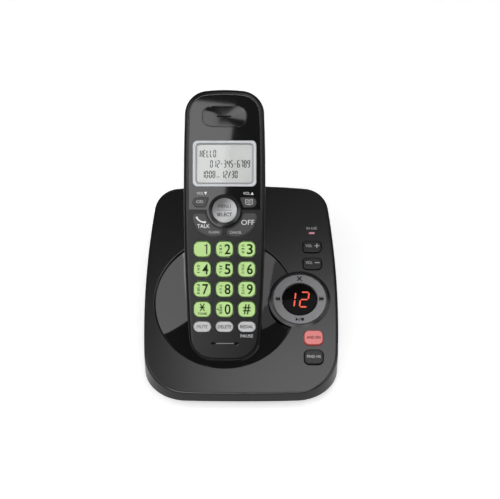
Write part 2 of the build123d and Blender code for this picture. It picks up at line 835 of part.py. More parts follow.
def cradle_dish():
    bowl = under_bowl(0, bowl_radius) - under_bowl(dish_wall, bowl_radius + CUT)
    flange = tube(dish_radius + dish_flange, bowl_radius - CUT, -wall - dish_wall, -wall)
    bowl += panel * Pos(dish_x, 0) * flange
    tub = handset_column(pocket_gap + dish_wall, seat_level - dish_wall) & under_bowl(0, bowl_radius)
    dish = bowl + tub - handset_column(pocket_gap, seat_level)
    rest = handset * backrest() & panel * post(bowl_radius, -REACH / 4, REACH / 4, dish_x)
    dish += rest - under_bowl(dish_wall, REACH / 4)
    dish &= slab(drawn_in(plan, wall + dish_trim_gap), 0, REACH / 2)
    dish -= panel * post(collar_radius + dish_trim_gap, -REACH / 8, REACH / 8, ring_x, ring_y)
    for side in (-1, 1):
        slot = block(
            *grown((contact_width, contact_length), contact_slot_gap),
            seat_level - 2 * dish_wall,
            seat_level + dish_wall,
            side * contact_x,
            contact_y,
        )
        dish -= handset * slot
    return Part() + dish.solids().sort_by(SortBy.VOLUME)[-1]


def charging_contacts():
    """Two leaf springs that stand up through the pocket's floor, under the handset's pads."""
    low = seat_level - dish_wall - contact_thickness / 2
    peak = -handset_thickness - contact_gap - contact_thickness / 2
    half = contact_length / 2
    path = FilletPolyline(
        (-half - contact_foot, low),
        (-half + contact_bend, low),
        (-half / 3, peak),
        (half / 3, peak),
        (half - contact_bend, low),
        radius=contact_bend,
    )
    strip = make_face(offset(path, amount=contact_thickness / 2, side=Side.BOTH).edges())
    leaf = extrude(Pos(-contact_width / 2, 0, 0) * (Plane.YZ * strip), amount=contact_width, dir=(1, 0, 0))
    return Part() + [Pos(side * contact_x, contact_y) * leaf for side in (-1, 1)]


# ---------------------------------------------------------------- base: inside pieces
def base_circuit_board():
    size = (board_right - board_left, board_back - board_front)
    outline = rounded(size, board_corner, (board_left + board_right) / 2, (board_back + board_front) / 2)
    board = slab(outline, -board_depth - board_thickness, -board_depth)
    for x, y in board_posts:
        board -= post(board_screw_radius + screw_gap, -2 * board_depth, 0, x, y)
    return board


def switch(size):
    body = block(size, size, -board_depth, switch_top - switch_cap)
    return body + post(size / 4, switch_top - switch_cap, switch_top)


def base_switches():
    """The push switches on the board, one under each button and four under the ring."""
    switches = [Pos(button_x, y) * switch(switch_size) for _, _, _, y in base_buttons.values()]
    ring_spots = on_circle(ring_plunger_offset, 4)
    switches += [Pos(ring_x + x, ring_y + y) * switch(ring_switch_size) for x, y in ring_spots]
    return Part() + switches


def screw(shank, head, head_height, length):
    """A pan-head screw, its head's underside at z = 0 and its shank upwards, with a cross slot."""
    body = post(shank, -head_height / 2, length) + post(head, -head_height, 0)
    body = fillet(bottom_edges(body), head_height / 4)
    slot = block(head, head / 4, -head_height, -head_height / 2)
    return body - slot - Rotation(0, 0, 90) * slot


def screw_group(spots, height, one):
    return Part() + [Pos(x, y, height) * one for x, y in spots]


def board_screws():
    one = screw(board_screw_radius, board_screw_head, board_screw_head_height, board_screw_length)
    return screw_group(board_posts, -board_depth - board_thickness, one)


def base_screws():
    one = screw(base_screw_radius, base_screw_head, base_screw_head_height, base_screw_length)
    return screw_group(base_boss_spots, screw_seat_height, one)


def handset_screws():
    one = screw(handset_screw_radius, handset_screw_head, handset_screw_head_height, handset_screw_length)
    return screw_group(handset_screw_spots, handset_screw_seat, one)


def base_feet():
    foot = post(foot_radius, 0, floor_gap + foot_inset)
    foot = fillet(bottom_edges(foot), foot_inset / 2)
    return Part() + [Pos(x, y) * foot for x, y in foot_spots]


def base_speaker():
    """A round loudspeaker that faces down through the floor's slots: basket, cone and magnet in one."""
    magnet_height = speaker_height / 3
    cone_height = speaker_height - magnet_height - speaker_basket
    cone_radius = speaker_radius - speaker_rim
    profile = make_face(
        Polyline(
            (0, cone_height),
            (speaker_magnet / 2, cone_height),
            (cone_radius, speaker_basket / 2),
            (cone_radius, 0),
            (speaker_radius, 0),
            (speaker_radius, speaker_basket),
            (speaker_magnet, speaker_height - magnet_height),
            (speaker_magnet, speaker_height),
            (0, speaker_height),
            close=True,
        )
    )
    return Pos(speaker_x, speaker_y, floor_top) * revolve(Plane.XZ * profile, Axis.Z)


def line_jack():
    """The telephone line's socket, open to the back, with its latch notch."""
    width, depth, height = line_socket
    mouth = Pos(line_jack_x, back_y - line_jack_recess, jack_height)
    to_back = (Align.CENTER, Align.MAX, Align.CENTER)
    body = Box(*line_jack_size, align=to_back) - Box(width, depth, height, align=to_back)
    body -= Pos(0, 0, -height / 2) * Box(line_notch[0], depth, 2 * line_notch[1], align=to_back)
    return mouth * body


def power_jack():
    """The adapter's socket, a round bore with a pin."""
    mouth = Pos(power_jack_x, back_y - power_jack_recess, jack_height)
    body = Box(*power_jack_size, align=(Align.CENTER, Align.MAX, Align.CENTER))
    inwards = Rotation(90, 0, 0)
    to_front = (Align.CENTER, Align.CENTER, Align.MIN)
    body -= inwards * Cylinder(power_bore_radius, power_bore_depth, align=to_front)
    pin_depth = power_bore_depth + JOIN
    pin = Cylinder(power_pin_radius, pin_depth - CUT, align=to_front)
    return mouth * (body + inwards * Pos(0, 0, CUT) * pin)


# ---------------------------------------------------------------- handset shells
def faceplate_outline(gap):
    upper = drawn_in(handset_outline, faceplate_inset + gap)
    keep = Pos(0, menu_y + gap + REACH / 2) * Rectangle(REACH, REACH)
    return (upper & keep) + Pos(0, menu_y) * Circle(menu_lobe_radius - gap)


def key_holes(outlines):
    return [slab(offset(outline, amount=key_clearance), -face_wall - CUT, CUT) for outline in outlines]


def earpiece_opening(gap=0.0):
    return rounded(grown(ear_size, -gap), ear_corner - gap, 0, ear_y)


def charge_pad_spots():
    return [(side * contact_x, contact_y) for side in (-1, 1)]


def handset_front_shell():
    shell = slab(handset_outline, -handset_split, 0)
    shell = fillet(top_edges(shell), face_edge_round)
    shell -= slab(drawn_in(handset_outline, handset_wall), -handset_split - CUT, -face_wall)
    shell -= slab(faceplate_outline(0), -faceplate_thickness, CUT)
    for hole in key_holes(key_outlines):
        shell -= hole
    lens_hole = grown(bezel_window, display_lens_margin + display_gap)
    shell -= slab(rounded(lens_hole, bezel_window_corner, 0, display_y), -face_wall - CUT, CUT)
    shell -= slab(earpiece_opening(), -face_wall - CUT, CUT)
    shell -= slab(Pos(0, microphone_y) * SlotOverall(*microphone_slot), -microphone_slot_depth, CUT)
    for side in (-1, 1):
        shell -= post(microphone_hole_radius, -face_wall - CUT, CUT, side * microphone_x, microphone_y)
        for y in handset_post_rows:
            shell += post(handset_post_radius, handset_board_top, -face_wall + JOIN, side * handset_post_x, y)
    for x, y in handset_screw_spots:
        bore = post(handset_screw_radius + thread_gap, handset_boss_joint - CUT, -face_wall - CUT, x, y)
        shell += post(handset_boss_radius, handset_boss_joint, -face_wall + JOIN, x, y) - bore
    return shell


def handset_faceplate():
    plate = slab(faceplate_outline(faceplate_gap), -faceplate_thickness, 0)
    plate = fillet(top_edges(plate), faceplate_round)
    for hole in key_holes([*soft_outlines.values(), menu_outline]):
        plate -= hole
    bezel_hole = rounded(grown(bezel_size, faceplate_gap / 2), bezel_corner, 0, display_y)
    plate -= slab(bezel_hole, -face_wall, CUT)
    plate -= slab(earpiece_opening(), -face_wall, CUT)
    well = Cone(menu_radius + key_clearance, menu_well_radius, menu_well_depth)
    return plate - Pos(0, menu_y, -menu_well_depth / 2) * well


def handset_back_shell():
    shell = slab(handset_outline, -handset_thickness, -handset_split)
    shell = fillet(bottom_edges(shell), back_edge_round)
    hollow = slab(drawn_in(handset_outline, handset_wall), back_inside, -handset_split + CUT)
    shell -= fillet(bottom_edges(hollow), back_edge_round - handset_wall)
    shell += door_surround()
    recess = door_outline(door_gap, door_travel)
    shell -= slab(recess, -handset_thickness - CUT, door_inside + door_seat_gap)
    shell -= block(bay_width, bay_length, -handset_thickness - CUT, bay_floor, 0, bay_y)
    for x, y in handset_screw_spots:
        boss_top = handset_boss_joint - handset_boss_gap
        head_bore = handset_screw_head + handset_screw_gap
        shell += post(handset_boss_radius + handset_boss_step, -handset_thickness + JOIN, boss_top, x, y)
        shell -= post(handset_screw_radius + handset_screw_gap, -handset_thickness, boss_top + CUT, x, y)
        shell -= post(head_bore, -handset_thickness - CUT, handset_screw_seat, x, y)
    for x, y in [(0, 0), *on_circle(loud_hole_circle, loud_holes)]:
        shell -= post(loud_hole_radius, -handset_thickness - CUT, back_inside + CUT, x, loud_y + y)
    for x, y in charge_pad_spots():
        pad_top = -handset_thickness + pad_thickness
        shell -= block(*grown(pad_size, pad_gap), -handset_thickness - CUT, pad_top, x, y)
    return shell


def door_outline(gap, travel):
    """The battery door's outline, lengthened towards the handset's lower end by its travel."""
    width, length = grown(door_size, gap)
    return rounded((width, length + travel), door_corner, 0, bay_y - travel / 2)


def door_surround():
    """The thick floor round the battery door, and the walls of the battery bay above it."""
    floor = door_outline(door_ledge, door_travel)
    surround = slab(floor, -handset_thickness + JOIN / 5, door_inside + door_ledge)
    bay_size = grown((bay_width, bay_length), bay_wall)
    return surround + block(*bay_size, door_inside, bay_floor + bay_wall, 0, bay_y)


# ---------------------------------------------------------------- handset: face pieces
def display_bezel():
    frame = slab(rounded(bezel_size, bezel_corner, 0, display_y), -faceplate_thickness, bezel_height)
    frame = fillet(top_edges(frame), bezel_height)
    lower = rounded(bezel_window, bezel_window_corner, 0, display_y)
    upper = rounded(grown(bezel_window, bezel_slope), bezel_window_corner + bezel_slope, 0, display_y)
    return frame - loft([Pos(0, 0, -faceplate_thickness) * lower, Pos(0, 0, bezel_height) * upper])


def display_lens():
    outline = rounded(grown(bezel_window, display_lens_margin), bezel_window_corner, 0, display_y)
    return slab(outline, -faceplate_thickness - display_lens_thickness, -faceplate_thickness)


def display_panel():
    """The liquid-crystal panel: a frame on the circuit board, with the glass standing up to the lens."""
    frame_outline = rounded(grown(bezel_window, display_panel_margin), bezel_window_corner, 0, display_y)
    frame = slab(frame_outline, handset_board_top, -face_wall - display_gap)
    glass_top = -faceplate_thickness - display_lens_thickness - display_gap / 2
    glass = rounded(bezel_window, bezel_window_corner, 0, display_y)
    return frame + slab(glass, -face_wall - display_gap, glass_top)


def earpiece_insert():
    """The scooped oblong over the earpiece, with its sound slot."""
    insert = slab(earpiece_opening(faceplate_gap), -face_wall - ear_foot, 0)
    scoop = scale(Sphere(1.0), by=(ear_size[0] / 2 - ear_rim, ear_size[1] / 2 - ear_rim, ear_scoop))
    insert -= Pos(0, ear_y, 0) * scoop
    return insert - slab(Pos(0, ear_y) * SlotOverall(*ear_slot), -2 * face_wall, CUT)


def earpiece_speaker():
    top = -face_wall - ear_foot
    body = post(ear_speaker_radius, top - ear_speaker_height, top, 0, ear_y)
    body -= post(ear_speaker_radius - ear_speaker_rim, top - ear_speaker_dish, top, 0, ear_y)
    return body + post(ear_speaker_dome, top - ear_speaker_height / 2, top - key_stop_gap, 0, ear_y)


def handset_microphone():
    x = microphone_x - microphone_hole_radius
    return post(microphone_radius, -face_wall - microphone_height, -face_wall, x, microphone_y)


# ---------------------------------------------------------------- handset: inside and back pieces
def keypad_mat():
    low, high = pill_y - pill_length / 2 - mat_margin, menu_y + menu_radius + mat_margin
    width = 2 * key_column_pitch + key_width + 2 * mat_margin
    return slab(rounded((width, high - low), digit_corner, 0, (low + high) / 2), handset_board_top, mat_top)


def handset_circuit_board():
    outline = drawn_in(handset_outline, handset_wall + handset_board_gap)
    length = handset_board_end - handset_board_start
    keep = Pos(0, handset_board_start + length / 2) * Rectangle(REACH, length)
    return slab(outline & keep, handset_board_bottom, handset_board_top)


def handset_loudspeaker():
    body = post(loud_radius, back_inside, back_inside + loud_height, 0, loud_y)
    return body - post(loud_radius - loud_rim, back_inside, back_inside + loud_height / 3, 0, loud_y)


def handset_charge_pads():
    pad = block(*pad_size, -handset_thickness, -handset_thickness + pad_thickness)
    return Part() + [Pos(x, y) * pad for x, y in charge_pad_spots()]


def battery_cells():
    """Two cells side by side, head to tail."""
    can_length = cell_length - cell_nub_length
    can = fillet(Cylinder(cell_radius, can_length).edges(), cell_round)
    nub = Pos(0, 0, (can_length - JOIN) / 2) * Cylinder(cell_nub_radius, cell_nub_length + JOIN)
    nub = Pos(0, 0, cell_nub_length / 2) * nub
    cell = Pos(0, 0, -cell_nub_length / 2) * (can + nub)
    return Part() + [Pos(side * cell_x, bay_y, cell_z) * Rotation(90 * side, 0, 0) * cell for side in (-1, 1)]


def battery_contacts():
    """The plates at the two ends of the battery bay, each with a bump towards its cell."""
    width, height, thickness = bay_plate
    wide, narrow = bay_plate_bump
    reach = bay_spring - bay_plate_gap
    plates = []
    for end in (-1, 1):
        for side in (-1, 1):
            plate = Box(width, thickness, height, align=(Align.CENTER, Align.MAX, Align.CENTER))
            bump = Cone(wide, narrow, reach, align=(Align.CENTER, Align.CENTER, Align.MIN))
            contact = Rotation(0, 0, 90 - 90 * end) * (plate + Rotation(90, 0, 0) * bump)
            plates.append(Pos(side * cell_x, bay_y + end * bay_length / 2, cell_z) * contact)
    return Part() + plates


def battery_door():
    door = slab(rounded(door_size, door_corner, 0, bay_y), -handset_thickness, door_inside)
    door = fillet(bottom_edges(door), door_round)
    for turn in range(door_ridges):
        y = bay_y + door_size[1] / 2 - door_ridge_end - door_ridge_pitch * turn
        groove = Pos(0, y) * SlotOverall(*door_ridge_size)
        door -= slab(groove, -handset_thickness, -handset_thickness + door_ridge_depth)
    return door


# ---------------------------------------------------------------- the whole object
def base_nodes():
    """Pieces that stand level, in the table's own frame."""
    makers = (
        base_top_housing,
        base_bottom_housing,
        cradle_dish,
        base_feet,
        base_screws,
        base_speaker,
        line_jack,
        power_jack,
    )
    return {make.__name__: make() for make in makers}


def panel_nodes():
    makers = (
        message_ring,
        ring_carrier,
        message_counter_lens,
        message_counter_display,
        in_use_lamp,
        base_circuit_board,
        base_switches,
        board_screws,
    )
    pieces = {make.__name__: make() for make in makers}
    for name, (size, corner, height, y) in base_buttons.items():
        pieces[name] = Pos(button_x, y) * base_button(size, corner, height)
    return {name: panel * piece for name, piece in pieces.items()}


def handset_nodes():
    makers = (
        charging_contacts,
        handset_front_shell,
        handset_faceplate,
        handset_back_shell,
        handset_screws,
        display_bezel,
        display_lens,
        display_panel,
        earpiece_insert,
        earpiece_speaker,
        handset_microphone,
        keypad_mat,
        handset_circuit_board,
        handset_loudspeaker,
        handset_charge_pads,
        battery_cells,
        battery_contacts,
        battery_door,
        menu_button,
    )
    pieces = {make.__name__: make() for make in makers}
    for outlines, height, rounding in (
        (digit_outlines, digit_height, digit_round),
        (pill_outlines, pill_height, key_round),
        (soft_outlines, soft_key_height, key_round),
        (call_outlines, call_key_height, key_round),
    ):
        pieces.update({name: key(outline, height, rounding) for name, outline in outlines.items()})
    return {name: handset * piece for name, piece in pieces.items()}


nodes = {**base_nodes(), **panel_nodes(), **handset_nodes()}
boxes = [shape.bounding_box() for shape in nodes.values()]
middle_y = (min(box.min.Y for box in boxes) + max(box.max.Y for box in boxes)) / 2

os.makedirs("parts", exist_ok=True)
for name, shape in nodes.items():
    export_step(Pos(0, -middle_y, 0) * shape, f"parts/{name}.step")
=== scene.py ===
import json
import math

import bmesh
import bpy
from mathutils import Matrix, Vector
from mathutils.bvhtree import BVHTree

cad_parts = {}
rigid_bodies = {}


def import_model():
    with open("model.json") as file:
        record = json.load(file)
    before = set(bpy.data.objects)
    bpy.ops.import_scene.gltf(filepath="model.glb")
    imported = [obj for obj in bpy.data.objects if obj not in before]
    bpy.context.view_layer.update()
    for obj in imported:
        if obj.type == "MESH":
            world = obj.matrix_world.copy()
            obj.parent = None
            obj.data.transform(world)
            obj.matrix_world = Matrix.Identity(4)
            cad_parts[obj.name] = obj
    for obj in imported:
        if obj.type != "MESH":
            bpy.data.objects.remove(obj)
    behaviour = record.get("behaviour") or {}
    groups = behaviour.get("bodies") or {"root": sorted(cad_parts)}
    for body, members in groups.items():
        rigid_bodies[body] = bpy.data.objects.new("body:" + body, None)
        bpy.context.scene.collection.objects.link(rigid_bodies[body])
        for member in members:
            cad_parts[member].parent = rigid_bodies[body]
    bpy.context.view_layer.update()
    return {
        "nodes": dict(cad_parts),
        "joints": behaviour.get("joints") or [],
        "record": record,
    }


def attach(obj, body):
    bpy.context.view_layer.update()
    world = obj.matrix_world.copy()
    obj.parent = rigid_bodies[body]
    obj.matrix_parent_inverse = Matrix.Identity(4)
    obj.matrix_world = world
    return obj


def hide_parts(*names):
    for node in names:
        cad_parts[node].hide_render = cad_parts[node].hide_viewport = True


# A telephone answering base with its cordless handset, dressed for rendering. Metres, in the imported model's frame.
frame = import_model()
mm = 0.001
nodes = frame["nodes"]
joints = {joint["name"]: joint for joint in frame["joints"]}
bodyOf = {node: body for body, members in frame["record"]["behaviour"]["bodies"].items() for node in members}


# tilted frames: x across, y up the tilted face, z out of it
def turnTo(outward):  # a turn about X that takes +Z to this direction
    return Matrix.Rotation(math.atan2(-outward[1], outward[2]), 4, "X")


panelTurn = turnTo([-part for part in joints["find_handset_button_press"]["axis"]])
handsetTurn = turnTo(joints["handset_lift"]["axis"])
faces = {}


def faceOf(node, turn):  # where a node lies in a tilted frame, and its surface for dropping prints on
    if node not in faces:
        back = turn.inverted()
        points = [back @ vertex.co for vertex in nodes[node].data.vertices]
        low = [min(point[axis] for point in points) for axis in range(3)]
        high = [max(point[axis] for point in points) for axis in range(3)]
        tree = BVHTree.FromPolygons(points, [list(polygon.vertices) for polygon in nodes[node].data.polygons])
        faces[node] = {
            "x": (low[0] + high[0]) / 2, "y": (low[1] + high[1]) / 2, "top": high[2], "tree": tree,
        }
    return faces[node]


def newGroup(name, inputs, outputs):
    group = bpy.data.node_groups.new(name, "ShaderNodeTree")
    for label, kind, value in inputs:
        socket = group.interface.new_socket(name=label, in_out="INPUT", socket_type=kind)
        socket.default_value = value
    for label, kind in outputs:
        group.interface.new_socket(name=label, in_out="OUTPUT", socket_type=kind)
    return group, group.nodes.new("NodeGroupInput"), group.nodes.new("NodeGroupOutput")


def noiseIn(group, coordinate, scale, detail):
    noise = group.nodes.new("ShaderNodeTexNoise")
    noise.inputs["Detail"].default_value = detail
    group.links.new(coordinate, noise.inputs["Vector"])
    group.links.new(scale, noise.inputs["Scale"])
    return noise.outputs["Fac"]


def mathIn(group, operation, first, second, clamp=False):
    step = group.nodes.new("ShaderNodeMath")
    step.operation = operation
    step.use_clamp = clamp
    for socket, value in zip(step.inputs, (first, second)):
        if isinstance(value, (int, float)):
            socket.default_value = value
        else:
            group.links.new(value, socket)
    return step.outputs[0]


def fadeIn(group, value, given):  # a soft step between the group's own Low and High
    fade = group.nodes.new("ShaderNodeMapRange")
    fade.interpolation_type = "SMOOTHSTEP"
    group.links.new(value, fade.inputs["Value"])
    group.links.new(given.outputs["Low"], fade.inputs["From Min"])
    group.links.new(given.outputs["High"], fade.inputs["From Max"])
    return fade.outputs["Result"]


def makeMouldedGrain():  # the fine pebbled skin of a spark-eroded mould
    group, given, result = newGroup(
        "mouldedGrain",
        [("Scale", "NodeSocketFloat", 4000.0), ("Softness", "NodeSocketFloat", 0.35)],
        [("Height", "NodeSocketFloat")],
    )
    place = group.nodes.new("ShaderNodeTexCoord").outputs["Object"]
    pebbles = group.nodes.new("ShaderNodeTexVoronoi")
    pebbles.feature = "SMOOTH_F1"
    group.links.new(place, pebbles.inputs["Vector"])
    group.links.new(given.outputs["Scale"], pebbles.inputs["Scale"])
    group.links.new(given.outputs["Softness"], pebbles.inputs["Smoothness"])
    broad = noiseIn(group, place, mathIn(group, "MULTIPLY", given.outputs["Scale"], 0.4), 2.0)
    height = mathIn(group, "ADD", pebbles.outputs["Distance"], broad)
    group.links.new(height, result.inputs["Height"])
    return group


def makeHandledSheen():  # roughness that wanders a little, as on plastic that is handled and wiped
    group, given, result = newGroup(
        "handledSheen",
        [
            ("Roughness", "NodeSocketFloat", 0.4), ("Spread", "NodeSocketFloat", 0.08),
            ("Scale", "NodeSocketFloat", 60.0),
        ],
        [("Roughness", "NodeSocketFloat")],
    )
    place = group.nodes.new("ShaderNodeTexCoord").outputs["Object"]
    patches = noiseIn(group, place, given.outputs["Scale"], 3.0)
    streaks = noiseIn(group, place, mathIn(group, "MULTIPLY", given.outputs["Scale"], 9.0), 4.0)
    mixed = mathIn(group, "ADD", mathIn(group, "MULTIPLY", patches, 0.7), mathIn(group, "MULTIPLY", streaks, 0.3))
    wander = mathIn(group, "MULTIPLY", mathIn(group, "SUBTRACT", mixed, 0.5), given.outputs["Spread"])
    rough = mathIn(group, "ADD", given.outputs["Roughness"], wander, clamp=True)
    group.links.new(rough, result.inputs["Roughness"])
    return group


def makeMottle():  # faint cloudiness in the colour of a moulding
    group, given, result = newGroup(
        "mottle",
        [
            ("Colour", "NodeSocketColor", (0.5, 0.5, 0.5, 1.0)), ("Amount", "NodeSocketFloat", 0.08),
            ("Scale", "NodeSocketFloat", 90.0),
        ],
        [("Colour", "NodeSocketColor")],
    )
    place = group.nodes.new("ShaderNodeTexCoord").outputs["Object"]
    cloud = noiseIn(group, place, given.outputs["Scale"], 4.0)
    swing = mathIn(group, "MULTIPLY", mathIn(group, "SUBTRACT", cloud, 0.5), given.outputs["Amount"])
    gain = mathIn(group, "ADD", mathIn(group, "MULTIPLY", swing, 2.0), 1.0)
    scaled = group.nodes.new("ShaderNodeVectorMath")
    scaled.operation = "SCALE"
    group.links.new(given.outputs["Colour"], scaled.inputs[0])
    group.links.new(gain, scaled.inputs["Scale"])
    group.links.new(scaled.outputs[0], result.inputs["Colour"])
    return group


# used below to paint shade on the sides of keys and buttons
def makeFacing():  # 1 where a surface faces this way, 0 where it turns off
    group, given, result = newGroup(
        "facing",
        [
            ("Outward", "NodeSocketVector", (0.0, 0.0, 1.0)), ("Low", "NodeSocketFloat", 0.6),
            ("High", "NodeSocketFloat", 0.9),
        ],
        [("Mask", "NodeSocketFloat")],
    )
    lean = group.nodes.new("ShaderNodeVectorMath")
    lean.operation = "DOT_PRODUCT"
    group.links.new(group.nodes.new("ShaderNodeTexCoord").outputs["Normal"], lean.inputs[0])
    group.links.new(given.outputs["Outward"], lean.inputs[1])
    group.links.new(fadeIn(group, lean.outputs["Value"], given), result.inputs["Mask"])
    return group


# used below to paint shade across the menu button
def makeSweep():  # fades from 0 to 1 along a direction, between two distances
    group, given, result = newGroup(
        "sweep",
        [
            ("Along", "NodeSocketVector", (1.0, 0.0, 0.0)), ("Low", "NodeSocketFloat", 0.0),
            ("High", "NodeSocketFloat", 1.0),
        ],
        [("Mask", "NodeSocketFloat")],
    )
    reach = group.nodes.new("ShaderNodeVectorMath")
    reach.operation = "DOT_PRODUCT"
    group.links.new(group.nodes.new("ShaderNodeTexCoord").outputs["Object"], reach.inputs[0])
    group.links.new(given.outputs["Along"], reach.inputs[1])
    group.links.new(fadeIn(group, reach.outputs["Value"], given), result.inputs["Mask"])
    return group


mouldedGrain = makeMouldedGrain()
handledSheen = makeHandledSheen()
mottle = makeMottle()
facing = makeFacing()
sweep = makeSweep()
print("shared effects built")


# finishes, one entry for each; colours are linear; an 'edge' colour is painted shade on the sides of a key or
# button, and 'far' is painted shade across the menu button
finishes = {
    "base_satin": {"colour": (0.0042, 0.0042, 0.0048), "roughness": 0.205, "spread": 0.03, "grain": 0.012},
    "base_underside": {
        "colour": (0.0060, 0.0060, 0.0066), "roughness": 0.44, "spread": 0.06, "grain": 0.15, "specular": 0.18,
    },
    "dish_gloss": {"colour": (0.0030, 0.0030, 0.0034), "roughness": 0.04, "spread": 0.02, "grain": 0.0},
    "dark_button": {
        "colour": (0.0060, 0.0060, 0.0068), "roughness": 0.30, "spread": 0.05, "grain": 0.06, "specular": 0.36,
    },
    "lit_button": {
        "colour": (0.72, 0.215, 0.215), "roughness": 0.38, "spread": 0.05, "grain": 0.05,
        "glow": (1.0, 0.30, 0.28), "glowStrength": 0.10, "edge": (0.40, 0.035, 0.035),
    },
    "ring_grey": {"colour": (0.200, 0.197, 0.206), "roughness": 0.22, "spread": 0.04, "grain": 0.03},
    "counter_window": {
        "colour": (0.0045, 0.0042, 0.0042), "roughness": 0.03, "spread": 0.02, "grain": 0.0, "specular": 0.03,
    },
    "counter_digits": {"colour": (0.30, 0.02, 0.01), "roughness": 0.30, "spread": 0.03, "grain": 0.0},
    "lamp": {
        "colour": (0.62, 0.27, 0.33), "roughness": 0.22, "spread": 0.03, "grain": 0.0,
        "glow": (1.0, 0.45, 0.52), "glowStrength": 0.10,
    },
    "rubber": {"colour": (0.0120, 0.0120, 0.0125), "roughness": 0.72, "spread": 0.08, "grain": 0.30},
    "steel": {"colour": (0.56, 0.57, 0.58), "roughness": 0.30, "spread": 0.12, "grain": 0.02, "metal": 1.0},
    "microphone": {"colour": (0.012, 0.012, 0.012), "roughness": 0.70, "spread": 0.08, "grain": 0.10},
    "contact_metal": {"colour": (0.78, 0.70, 0.50), "roughness": 0.24, "spread": 0.10, "grain": 0.02, "metal": 1.0},
    "circuit_board": {"colour": (0.010, 0.085, 0.030), "roughness": 0.34, "spread": 0.06, "grain": 0.05},
    "switch_plastic": {"colour": (0.02, 0.02, 0.02), "roughness": 0.45, "spread": 0.05, "grain": 0.10},
    "speaker": {"colour": (0.018, 0.018, 0.018), "roughness": 0.62, "spread": 0.08, "grain": 0.35},
    "socket": {"colour": (0.012, 0.012, 0.012), "roughness": 0.40, "spread": 0.05, "grain": 0.10},
    "inner_white": {"colour": (0.62, 0.62, 0.59), "roughness": 0.50, "spread": 0.05, "grain": 0.10},
    "handset_satin": {
        "colour": (0.0058, 0.0058, 0.0066), "roughness": 0.21, "spread": 0.03, "grain": 0.02, "specular": 0.25,
    },
    "faceplate_gloss": {"colour": (0.0042, 0.0042, 0.0046), "roughness": 0.03, "spread": 0.02, "grain": 0.0},
    "bezel_silver": {"colour": (0.56, 0.57, 0.59), "roughness": 0.34, "spread": 0.06, "grain": 0.04, "metal": 0.2},
    # display_grey glows: partly a backlight, and partly painted light that makes up for the lamp light the
    # refracting lens keeps off the display
    "display_grey": {
        "colour": (0.56, 0.56, 0.56), "roughness": 0.60, "spread": 0.03, "grain": 0.0,
        "glow": (0.68, 0.68, 0.68), "glowStrength": 0.38,
    },
    "key_green": {
        "colour": (0.530, 0.790, 0.290), "roughness": 0.50, "spread": 0.05, "grain": 0.06,
        "edge": (0.060, 0.165, 0.022),
    },
    "key_silver": {
        "colour": (0.585, 0.585, 0.592), "roughness": 0.44, "spread": 0.05, "grain": 0.06,
        "edge": (0.13, 0.13, 0.135),
    },
    "key_black": {"colour": (0.0200, 0.0200, 0.0220), "roughness": 0.30, "spread": 0.04, "grain": 0.0},
    "menu_silver": {
        "colour": (0.60, 0.60, 0.61), "roughness": 0.36, "spread": 0.08, "grain": 0.03, "metal": 0.25,
        "far": (0.13, 0.13, 0.134),
    },
    "earpiece": {"colour": (0.0034, 0.0034, 0.0038), "roughness": 0.13, "spread": 0.03, "grain": 0.0},
    "cell_wrap": {"colour": (0.05, 0.22, 0.09), "roughness": 0.30, "spread": 0.05, "grain": 0.0},
    "mat": {"colour": (0.42, 0.42, 0.40), "roughness": 0.60, "spread": 0.05, "grain": 0.10},
}
grainLook = {"scale": 5200.0, "distance": 0.00003, "sheenScale": 55.0, "mottleScale": 120.0, "mottle": 0.06}
sideShadeLook = {"low": 0.84, "high": 0.994}


def newMaterial(name):
    material = bpy.data.materials.new(name)
    material.use_nodes = True
    return material, material.node_tree, material.node_tree.nodes["Principled BSDF"]


def effect(tree, group, **values):
    node = tree.nodes.new("ShaderNodeGroup")
    node.node_tree = group
    for label, value in values.items():
        node.inputs[label.capitalize()].default_value = value
    return node


def blendIn(tree, mask, first, second):  # the first colour where the mask is 0, the second where it is 1
    mix = tree.nodes.new("ShaderNodeMix")
    mix.data_type = "RGBA"
    tree.links.new(mask, mix.inputs["Factor"])
    mix.inputs["A"].default_value = (*first, 1.0)
    if isinstance(second, tuple):
        mix.inputs["B"].default_value = (*second, 1.0)
    else:
        tree.links.new(second, mix.inputs["B"])
    return mix.outputs["Result"]


def plasticFinish(name, look, outward=None, across=None):
    material, tree, shader = newMaterial(name)
    tinted = effect(
        tree, mottle, colour=(*look["colour"], 1.0), amount=grainLook["mottle"], scale=grainLook["mottleScale"]
    )
    colour = tinted.outputs["Colour"]
    # painted shade: the 'far' colour darkens one side of the menu button, standing in for the reflections on its
    # curved metal
    if across:
        spread = effect(tree, sweep, along=across["along"], low=across["low"], high=across["high"])
        colour = blendIn(tree, spread.outputs["Mask"], look["far"], colour)
    # painted shade: the 'edge' colour darkens the sides of keys and buttons where they turn away from their face
    if outward:
        front = effect(tree, facing, outward=outward, low=sideShadeLook["low"], high=sideShadeLook["high"])
        colour = blendIn(tree, front.outputs["Mask"], look["edge"], colour)
    tree.links.new(colour, shader.inputs["Base Color"])
    sheen = effect(
        tree, handledSheen, roughness=look["roughness"], spread=look["spread"], scale=grainLook["sheenScale"]
    )
    tree.links.new(sheen.outputs["Roughness"], shader.inputs["Roughness"])
    shader.inputs["Metallic"].default_value = look.get("metal", 0.0)
    shader.inputs["Specular IOR Level"].default_value = look.get("specular", 0.5)
    if look["grain"]:
        skin = effect(tree, mouldedGrain, scale=grainLook["scale"])
        bump = tree.nodes.new("ShaderNodeBump")
        bump.inputs["Strength"].default_value = look["grain"]
        bump.inputs["Distance"].default_value = grainLook["distance"]
        tree.links.new(skin.outputs["Height"], bump.inputs["Height"])
        tree.links.new(bump.outputs["Normal"], shader.inputs["Normal"])
    if "glow" in look:
        shader.inputs["Emission Color"].default_value = (*look["glow"], 1.0)
        shader.inputs["Emission Strength"].default_value = look["glowStrength"]
    return material


